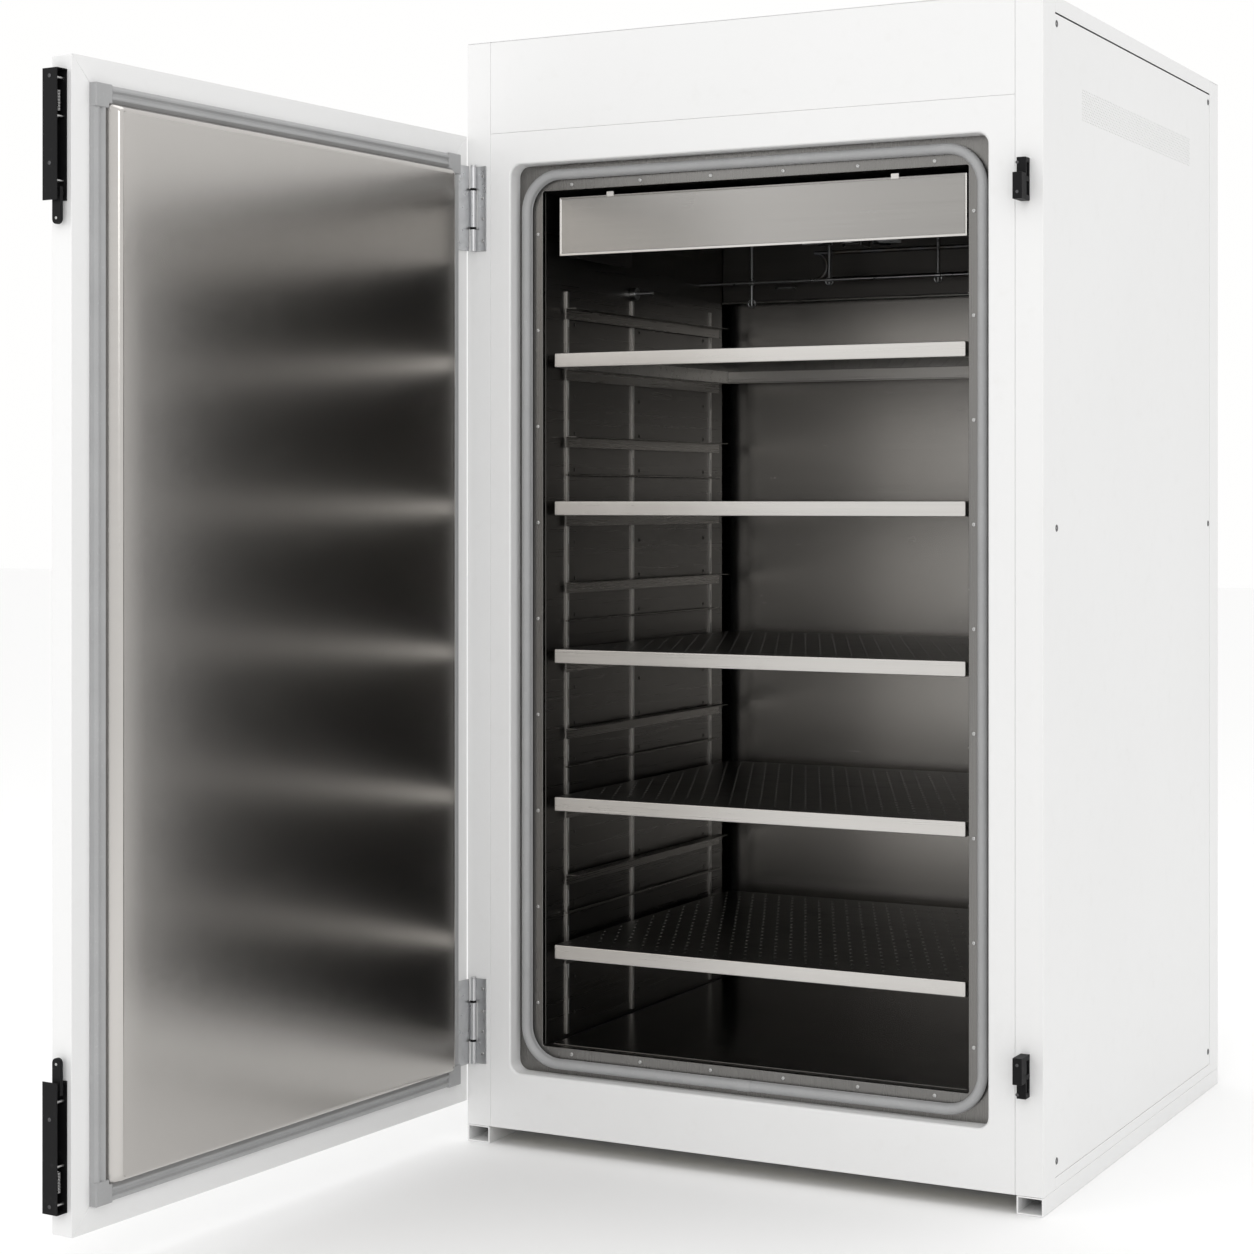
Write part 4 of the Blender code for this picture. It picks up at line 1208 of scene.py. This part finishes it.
for side in ("left", "right"):
    for number in range(1, 6):
        node = f"shelf_rail_{number}_{side}"
        rail(node, f"rail_{number}_{side}", 0.0, node)
        if number < 5:
            rail(node, f"spare_rail_{number}_{side}", SPARE_RISE * PITCH)
            strip(node, f"guide_strip_{number}_{side}", STRIP_RISE * PITCH)
    rail(f"shelf_rail_5_{side}", f"spare_rail_5_{side}", TOP_SPARE_RISE * PITCH)
print("rails and strips:", 2 * (5 + 5 + 4))

# %% [markdown]
# ## Air hood
#
# The hood is a long shallow box of stainless sheet at the top of the mouth, darkened to grey as
# painted shade. Its front has a narrow hem in lit stainless, a painted highlight, and it hangs on
# two small hooks. It is open below and behind, so those two faces are deleted before the wall gets
# its thickness.

# %% Hood
HEM = 0.0035
HOOKS = (0.135, 0.835)
HOOK_HALF = 0.007
hood_low, hood_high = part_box("air_hood")


def hood_edge(place, way, item):
    return near(place.z, hood_high.z) or (abs(way.z) > 0.9 and near(place.y, hood_low.y))


hood = Bench.block("air_hood_box", hood_low, hood_high)
hood.pick("FACE", lambda place, way, item: way.z < -0.9 or way.y > 0.9)
hood.delete()
hood.pick("FACE", facing("Y", -1))
hood.inset(HEM)
hood.inset(0.0012, -0.0010)
hood.pick("EDGE", hood_edge)
hood.round_off(0.0016, 3)
hood.face_towards((0, -1, 0))
hood.wall(LINING)
hood.fit("cabinet", "hood_painted_shade", "air_hood")
# The hem, like the hooks, takes lit stainless as a painted highlight.
hood.thing.data.materials.append(FINISHES["bright_x"])
for polygon in hood.thing.data.polygons:
    middle = polygon.center
    from_side = min(middle.x - hood_low.x, hood_high.x - middle.x, middle.z - hood_low.z)
    polygon.material_index = int(from_side < HEM and middle.y < hood_low.y + 0.0012)
for index, share in enumerate(HOOKS, start=1):
    x = hood_low.x + share * (hood_high.x - hood_low.x)
    hook = Bench.block(
        f"hood_hook_{index}", (x - HOOK_HALF, hood_low.y - 0.0016, hood_high.z - 0.004),
        (x + HOOK_HALF, hood_low.y + 0.0004, hood_high.z + 0.005),
    )
    hook.pick("FACE", facing("Z", 1))
    hook.extrude(y=0.012, z=0.001)
    hook.ease(0.0006)
    hook.fit("cabinet", "bright_x")
print("hood:", [round(value, 3) for value in hood_high - hood_low])

# %% [markdown]
# ## Heater
#
# The heating rod is a hairpin. A filled circle is extruded along the rod, spun through half a
# turn for the bend and extruded back. It rests on a cross rod that hangs from the ceiling on
# three thin rods, each ending in a ring.

# %% Heater hairpin
heater_low, heater_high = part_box("heater_element")
HEATER_RADIUS = (heater_high.y - heater_low.y) / 2
leg_low = heater_low.z + HEATER_RADIUS
leg_high = heater_high.z - HEATER_RADIUS
bend = Vector((
    heater_low.x + HEATER_RADIUS + (leg_high - leg_low) / 2,
    (heater_low.y + heater_high.y) / 2, (leg_low + leg_high) / 2,
))
start = (heater_high.x, bend.y, leg_low)
heater = Bench.circle("heater_hairpin", start, HEATER_RADIUS, 20, (0, math.pi / 2, 0))
heater.pick("FACE", everything)
heater.extrude(x=bend.x - heater_high.x)
bpy.ops.mesh.spin(steps=20, angle=math.pi, center=bend, axis=(0, 1, 0))
heater.extrude(x=heater_high.x - bend.x)
heater.weld()
heater.fit("cabinet", "hot_steel", "heater_element")
print("heater reach:", round(heater_high.x - heater_low.x, 3))

# %% Cross rod, hangers and rings
support_low, support_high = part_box("heater_support")
ROD = (0.0028, 14)  # radius and number of sides
RING = (0.007, 0.0016)
CLIP_HALF = 0.006
CLIP_RADIUS = 0.0048
HANGERS = (0.1175, 0.2865, 0.5155)
TAILS = (0.046, 0.008, 0.012)
rod_y = (support_low.y + support_high.y) / 2
rod_z = support_low.z + TAILS[0]
ends = ((support_low.x, rod_y, rod_z), (support_high.x, rod_y, rod_z))
rods = [Bench.rod("heater_rods", *ends, *ROD)]
for place, tail in zip(HANGERS, TAILS, strict=True):
    x = mouth_low.x + place
    rods.append(Bench.rod("rod", (x, rod_y, rod_z - tail), (x, rod_y, support_high.z), *ROD))
    clear_hands()
    bpy.ops.mesh.primitive_torus_add(
        major_radius=RING[0], minor_radius=RING[1], major_segments=24, minor_segments=8,
        location=(x, rod_y, rod_z - tail + 0.005), rotation=(math.pi / 2, 0, 0.5),
    )
    rods.append(Bench.made("ring"))
    ends = ((x - CLIP_HALF, rod_y, rod_z), (x + CLIP_HALF, rod_y, rod_z))
    clip = Bench.rod("clip", *ends, CLIP_RADIUS, 14)
    clip.pick("EDGE", lambda spot, way, item: abs(way.x) < 0.5)
    clip.round_off(0.0010, 2)
    rods.append(clip)
support = rods[0].join(*rods[1:])
support.fit("cabinet", "zinc", "heater_support")
print("hangers:", len(HANGERS))

# %% [markdown]
# Behind the heater a stainless sheet covers the way to the fan; its darkness is painted shade.
# Its lower edge is rolled into a hem in lit stainless, a painted highlight, and it has a small
# wire handle. The probe is a round head on the left wall with a thin tip.

# %% Fan cover
COVER_FOLD = 0.0025
cover_low, cover_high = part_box("fan_cover")
cover = Bench.block("fan_cover_sheet", cover_low, cover_high)
cover.pick("FACE", facing("Y", -1))
cover.inset(0.006)
cover.inset(0.0012, -0.0004)
cover.ease(0.0003, 1)
# The cover takes the deep painted shade of the shelves.
cover.fit("cabinet", "shelf_painted_shade", "fan_cover")
fold_y, fold_z = cover_low.y - COVER_FOLD, cover_low.z + COVER_FOLD
ends = ((cover_low.x, fold_y, fold_z), (cover_high.x, fold_y, fold_z))
hem = Bench.rod("fan_cover_hem", *ends, COVER_FOLD, 14)
hem.fit("cabinet", "bright_x")
print("cover width:", round(cover_high.x - cover_low.x, 3))

# %% Handle on the fan cover
HANDLE_WIDTH = 0.040
HANDLE_PROUD = 0.016
HANDLE_BEND = 0.006
stem = HANDLE_PROUD - HANDLE_BEND
bar_length = HANDLE_WIDTH - 2 * HANDLE_BEND
handle_start = Vector((cover_low.x + 0.124, cover_low.y, cover_low.z + 0.030))
bends = [handle_start + Vector((HANDLE_BEND, -stem, 0))]
bends.append(bends[0] + Vector((bar_length, 0, 0)))
handle = Bench.circle("cover_handle", handle_start, 0.0018, 12, (math.pi / 2, 0, 0))
handle.pick("FACE", everything)
handle.extrude(y=-stem)
bpy.ops.mesh.spin(steps=6, angle=math.pi / 2, center=bends[0], axis=(0, 0, 1))
handle.extrude(x=bar_length)
bpy.ops.mesh.spin(steps=6, angle=math.pi / 2, center=bends[1], axis=(0, 0, 1))
handle.extrude(y=HANDLE_PROUD - HANDLE_BEND)
handle.weld()
handle.fit("cabinet", "zinc")
print("handle ends at", [round(value, 3) for value in bends[1]])

# %% Probe
probe_low, probe_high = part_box("temperature_probe")
probe_radius = (probe_high.z - probe_low.z) / 2
probe_start = Vector((probe_low.x, *((probe_low + probe_high) / 2).yz))
probe_end = probe_start + Vector((probe_radius, 0, 0))
head = Bench.rod("probe_head", probe_start, probe_end, probe_radius, 28)
head.pick("FACE", facing("X", 1))
head.inset(probe_radius * 0.18)
head.inset(probe_radius * 0.10, -0.0015)
head.inset(probe_radius * 0.45)
head.extrude(x=probe_high.x - probe_low.x - probe_radius)
head.ease(0.0005)
head.fit("cabinet", "zinc", "temperature_probe")
print("probe radius:", round(probe_radius, 4))

# %% [markdown]
# ## Hidden machinery
#
# The fan wheel, motor, deck, controller and wool are seldom seen. Their CAD shapes are kept,
# their edges are eased, and they get their own finishes.

# %% Fan wheel, motor, deck, controller and wool
MACHINERY = (
    ("fan_impeller", "fan", "zinc"), ("fan_motor", "cabinet", "motor"),
    ("machine_deck", "cabinet", "zinc"), ("power_module", "cabinet", "controller"),
    ("insulation_wrap", "cabinet", "wool"),
)
for node, body, finish in MACHINERY:
    eased(node, body, finish, 0.0005, 1)
WOOL_FIT = (0.982, 1, 0.99)
wool_middle = sum(closed_box("door_insulation"), Vector()) / 2
wool = Bench.copy_of("door_insulation", "door_insulation_piece")
wool.hold("OBJECT")
wool.thing.data.transform(TO_OPEN.inverted())
wool.pick("VERT", everything)
bpy.ops.transform.resize(value=WOOL_FIT, center_override=wool_middle)
wool.ease(0.0010, 1)
wool.fit("door", "wool", "door_insulation", door=True)
print("machinery pieces:", len(MACHINERY) + 1)

# %% [markdown]
# ## Door shell
#
# The door is a flat white box. Its inner face is a frame of four strips that meet in mitres at
# the corners; the joints show as fine grooves. Insetting the inner face gives exactly these four
# strips, and insetting each strip by a hair with a little height leaves the grooves between.

# %% Door shell
MITRE = 0.0005
GROOVE = (0.0005, -0.0030)
SHELL_ROUND = 0.0028
door_low, door_high = closed_box("door_shell")
pan_low, pan_high = closed_box("door_pan")
frame_width = pan_low.x - door_low.x
frame_face = door_high.y - MITRE


def frame_strip(place, way, item):
    return near(place.y, frame_face) and way.y > 0.99 and item.calc_area() > 0.01


def outer_edge(place, way, item):
    behind = all(vertex.co.y < frame_face + 1e-5 for vertex in item.verts)
    return behind and place.y < frame_face - 0.010


shell = Bench.block("door_shell_sheet", door_low, (door_high.x, frame_face, door_high.z))
shell.pick("FACE", facing("Y", 1))
shell.inset(frame_width + 0.001)
shell.inset(*GROOVE)
strips = shell.pick("FACE", frame_strip)
shell.inset(MITRE, MITRE, each=True)
shell.pick("EDGE", outer_edge)
shell.round_off(SHELL_ROUND, 4)
shell.fit("door", "powder_coat", "door_shell", door=True)
print("frame strips:", strips, "frame width:", round(frame_width, 3))

# %% [markdown]
# ## Door pan
#
# The inner face of the door is one pressed stainless pan. Its raised part comes forward
# against the chamber seal, its sides lean in a little, and all of its bends are round, which
# gives the bright lines round the picture that the steel reflects.

# %% Door pan
PAN_CORNER = 0.010
PAN_FOLD = 0.003
PAN_BEND = 0.0065
PAN_SPREAD = 0.0075
PAN_LEAN = PAN_SPREAD + 0.0030
CREASE_IN = 0.056
EDGE_DROP = 0.0009
pan_face = pan_high.y
pan_plane = door_high.y
points = [TO_OPEN.inverted() @ vertex.co for vertex in frame["nodes"]["door_pan"].data.vertices]
points = [point for point in points if point.y > pan_face - 1e-4]
raised = [
    Vector((end(point.x for point in points), pan_plane, end(point.z for point in points)))
    for end in (min, max)
]
spread = Vector((PAN_SPREAD, 0, PAN_SPREAD))
pan_foot = (raised[0] - spread, raised[1] + spread)
pan_size = pan_foot[1] - pan_foot[0]
pan = pressed_sheet(
    "door_pan_sheet", (pan_low, pan_high), pan_foot, pan_plane, pan_face - pan_plane,
    PAN_CORNER, PAN_FOLD, 1, closed=True,
)
pan.pick("VERT", lambda place, way, item: near(place.y, pan_face))
lean = (1 - 2 * PAN_LEAN / pan_size.x, 1, 1 - 2 * PAN_LEAN / pan_size.z)
bpy.ops.transform.resize(value=lean, center_override=(raised[0] + raised[1]) / 2)
pan.pick("EDGE", lambda place, way, item: lies_at(item, "Y", pan_face))
pan.round_off(PAN_BEND, 5)
creases = (raised[0].x + CREASE_IN, raised[1].x - CREASE_IN)
for x in creases:
    pan.pick("FACE", everything)
    bpy.ops.mesh.bisect(plane_co=(x, pan_face, 1), plane_no=(1, 0, 0))


def beyond_creases(place, way, item):
    outside = abs(place.x - sum(creases) / 2) > (creases[1] - creases[0]) / 2 + 1e-4
    return outside and place.y > pan_face - 1e-4


pan.pick("VERT", beyond_creases)
pan.shift(y=-EDGE_DROP)
pan.face_towards((0, 1, 0))
pan.wall(LINING)
pan.fit("door", "door_steel", "door_pan", door=True)
print("raised part:", [round(value, 3) for value in pan_size])

# %% [markdown]
# ## Door seal
#
# The door's own seal is an extruded silicone strip with two ridges, cut into four lengths that
# meet in moulded corner pieces. Repeated insets of a plane, each with its own depth, draw that
# section all the way round with mitred corners. Rivets along its inner edge hold it down.

# %% Door seal
SEAL_SECTION = (
    (0.0012, 0.0085), (0.0050, 0.0032), (0.0030, 0.0), (0.0028, -0.0030), (0.0030, 0.0),
    (0.0040, 0.0036), (0.0030, 0.0), (0.0042, -0.0050), (0.0018, 0.0), (0.0010, -0.0070),
)
seal_low, seal_high = closed_box("door_gasket")
seal_width = sum(width for width, depth in SEAL_SECTION)
door_seal = Bench.upright("door_seal", seal_low, (seal_high.x, seal_low.y, seal_high.z), 1)
door_seal.pick("FACE", everything)
for width, depth in SEAL_SECTION:
    door_seal.inset(width, depth)
door_seal.delete()
door_seal.pick("EDGE", lambda place, way, item: len(item.link_faces) == 2)
door_seal.round_off(0.0006, 2)
door_seal.fit("door", "silicone", "door_gasket", door=True)
print("seal width:", round(seal_width, 4))

# %% Corner pieces of the door seal
CORNER_LENGTH = 0.036
CORNER_PROUD = 0.0004


def block_between(name, first, second, low_y, high_y):
    """A block between two opposite (x, z) corners, in any order."""
    (low_x, high_x), (low_z, high_z) = (sorted(pair) for pair in zip(first, second, strict=True))
    return Bench.block(name, (low_x, low_y, low_z), (high_x, high_y, high_z))


def seal_corner(name, x, z, to_x, to_z):
    """A moulded corner: a block with its inner quarter cut away."""
    far = (x + to_x * CORNER_LENGTH, z + to_z * CORNER_LENGTH)
    corner = block_between(name, (x, z), far, seal_low.y, seal_high.y + CORNER_PROUD)
    inner = (x + to_x * seal_width, z + to_z * seal_width)
    beyond = (inner[0] + to_x, inner[1] + to_z)
    corner.cut([block_between("cut", inner, beyond, seal_low.y - 0.01, seal_high.y + 0.01)])
    corner.ease(0.0018, 3)
    corner.fit("door", "silicone", door=True)


for name, x, to_x in (("hinge", seal_low.x, 1), ("free", seal_high.x, -1)):
    seal_corner(f"seal_corner_bottom_{name}", x, seal_low.z, to_x, 1)
    seal_corner(f"seal_corner_top_{name}", x, seal_high.z, to_x, -1)
print("corner pieces:", 4)

# %% Seal rivets
RIVET_LINE = 0.0245
rivet_y = seal_low.y + 0.0060
line_x = (seal_low.x + RIVET_LINE, seal_high.x - RIVET_LINE)
line_z = (seal_low.z + RIVET_LINE, seal_high.z - RIVET_LINE)
rivet_places = []
for x in line_x:
    rivet_places += along((x, rivet_y, line_z[0]), (x, rivet_y, line_z[1]), 12)
for z in line_z:
    rivet_places += along((line_x[0], rivet_y, z), (line_x[1], rivet_y, z), 6)
fasteners("seal_rivets", rivet_places, (0, 1, 0), SMALL_SCREW, "door", "screw", door=True)

# %% [markdown]
# ## Hinges
#
# Each hinge has a leaf on the cabinet with a knuckle at each end and a leaf on the door with the
# knuckle between. The CAD shapes are kept and eased. Dark rings fill the gaps between the
# knuckles, and small screws hold the leaves.

# %% Hinges
RING_HALF = Vector((0, 0, 0.0022))
SCREW_SHARES = (0.12, 0.38, 0.62, 0.88)
for number in (1, 2):
    eased(f"hinge_leaf_cabinet_{number}", "cabinet", "zinc", 0.0004)
    eased(f"hinge_leaf_door_{number}", "door", "zinc", 0.0004)
    eased(f"hinge_pin_{number}", "cabinet", "zinc", 0.0004)
    leaf_low, leaf_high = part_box(f"hinge_leaf_cabinet_{number}")
    pin_low, pin_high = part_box(f"hinge_pin_{number}")
    axis_x, axis_y = (pin_low.x + pin_high.x) / 2, (pin_low.y + pin_high.y) / 2
    barrel = axis_y - leaf_low.y
    length = leaf_high.z - leaf_low.z
    for place, share in (("bottom", 0.27), ("top", 0.73)):
        middle = Vector((axis_x, axis_y, leaf_low.z + share * length))
        name = f"hinge_ring_{number}_{place}"
        ring = Bench.rod(name, middle - RING_HALF, middle + RING_HALF, barrel + 0.0003, 28)
        ring.pick("FACE", lambda spot, way, item: abs(way.z) > 0.9)
        ring.inset(barrel * 0.22)
        ring.delete()
        ring.wall(0.0012)
        ring.ease(0.0003, 1)
        ring.fit("cabinet", "plastic")
    screw_x, screw_y = leaf_high.x - 0.0068, leaf_high.y - 0.0025
    places = [(screw_x, screw_y, leaf_low.z + share * length) for share in SCREW_SHARES]
    fasteners(f"hinge_screws_{number}", places, (0, -1, 0), HINGE_SCREW, "cabinet", "screw")
print("barrel radius:", round(barrel, 4))

# %% [markdown]
# ## Latches and keepers
#
# A latch is a black channel on the door's free edge with a lever on a pin. Inside it sit a small
# spring and three plated pins, which show as bright specks. The keepers stand on the cabinet.

# %% Latches
PIN_SHARES = (0.15, 0.64, 0.93)
SPRING_SHARE = 0.68
SPRING_PITCH = 0.0022
SPRING_TURNS = 14
SPRING_RADIUS = 0.0030
for place, up in (("upper", 1), ("lower", -1)):
    eased(f"latch_housing_{place}", "door", "plastic", 0.0009)
    low, high = closed_box(f"latch_housing_{place}")
    start = low.z if up > 0 else high.z
    length = high.z - low.z
    middle_y = (low.y + high.y) / 2
    places = [(high.x, middle_y, start + up * share * length) for share in (0.28, 0.94)]
    fasteners(
        f"latch_screws_{place}", places, (1, 0, 0), LATCH_SCREW, "door", "dark_screw", door=True
    )
    channel = (low.x + 0.002, high.x - 0.002)
    pins = []
    for share in PIN_SHARES:
        spots = [(x, middle_y + 0.008, start + up * share * length) for x in channel]
        pins.append(Bench.rod("pin", *spots, 0.0022, 14))
    latch_pins = pins[0].join(*pins[1:])
    latch_pins.thing.name = f"latch_pins_{place}"
    latch_pins.fit("door", "screw", door=True)
    spring = Bench.circle(
        f"latch_spring_{place}", (SPRING_RADIUS, 0, 0), 0.0006, 8, (math.pi / 2, 0, 0), "NOTHING"
    )
    spring.modify(
        "SCREW", screw_offset=SPRING_PITCH, iterations=SPRING_TURNS, steps=14, axis="Z",
        use_merge_vertices=False,
    )
    spring.pick("VERT", everything)
    spring_low = start + up * SPRING_SHARE * length - (0 if up > 0 else SPRING_PITCH * SPRING_TURNS)
    spring.shift(x=sum(channel) / 2, y=middle_y + 0.007, z=spring_low)
    spring.face_towards((0, 1, 0))
    spring.fit("door", "screw", door=True)
print("housing length:", round(length, 3))

# %% Levers
TIP_SCREW = 0.009
for place, up in (("upper", 1), ("lower", -1)):
    node = f"latch_lever_{place}"
    eased(node, f"lever_{place}", "plastic", 0.0010, 3)
    low, high = closed_box(node)
    tip_z = low.z + TIP_SCREW if up > 0 else high.z - TIP_SCREW
    tip = ((low.x + high.x) / 2 + 0.0030, (low.y + high.y) / 2, tip_z)
    fasteners(
        f"lever_screw_{place}", [tip], (1, 0, 0), LEVER_SCREW, f"lever_{place}", "screw", door=True
    )
print("lever tips at", [round(value, 3) for value in tip])

# %% Keepers
for place in ("upper", "lower"):
    node = f"latch_keeper_{place}"
    eased(node, "cabinet", "plastic", 0.0008)
    low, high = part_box(node)
    middle_x = (low.x + high.x) / 2
    places = [(middle_x, low.y, low.z + share * (high.z - low.z)) for share in (0.16, 0.84)]
    fasteners(f"keeper_screws_{place}", places, (0, -1, 0), KEEPER_SCREW, "cabinet", "dark_screw")
print("keepers:", 2)
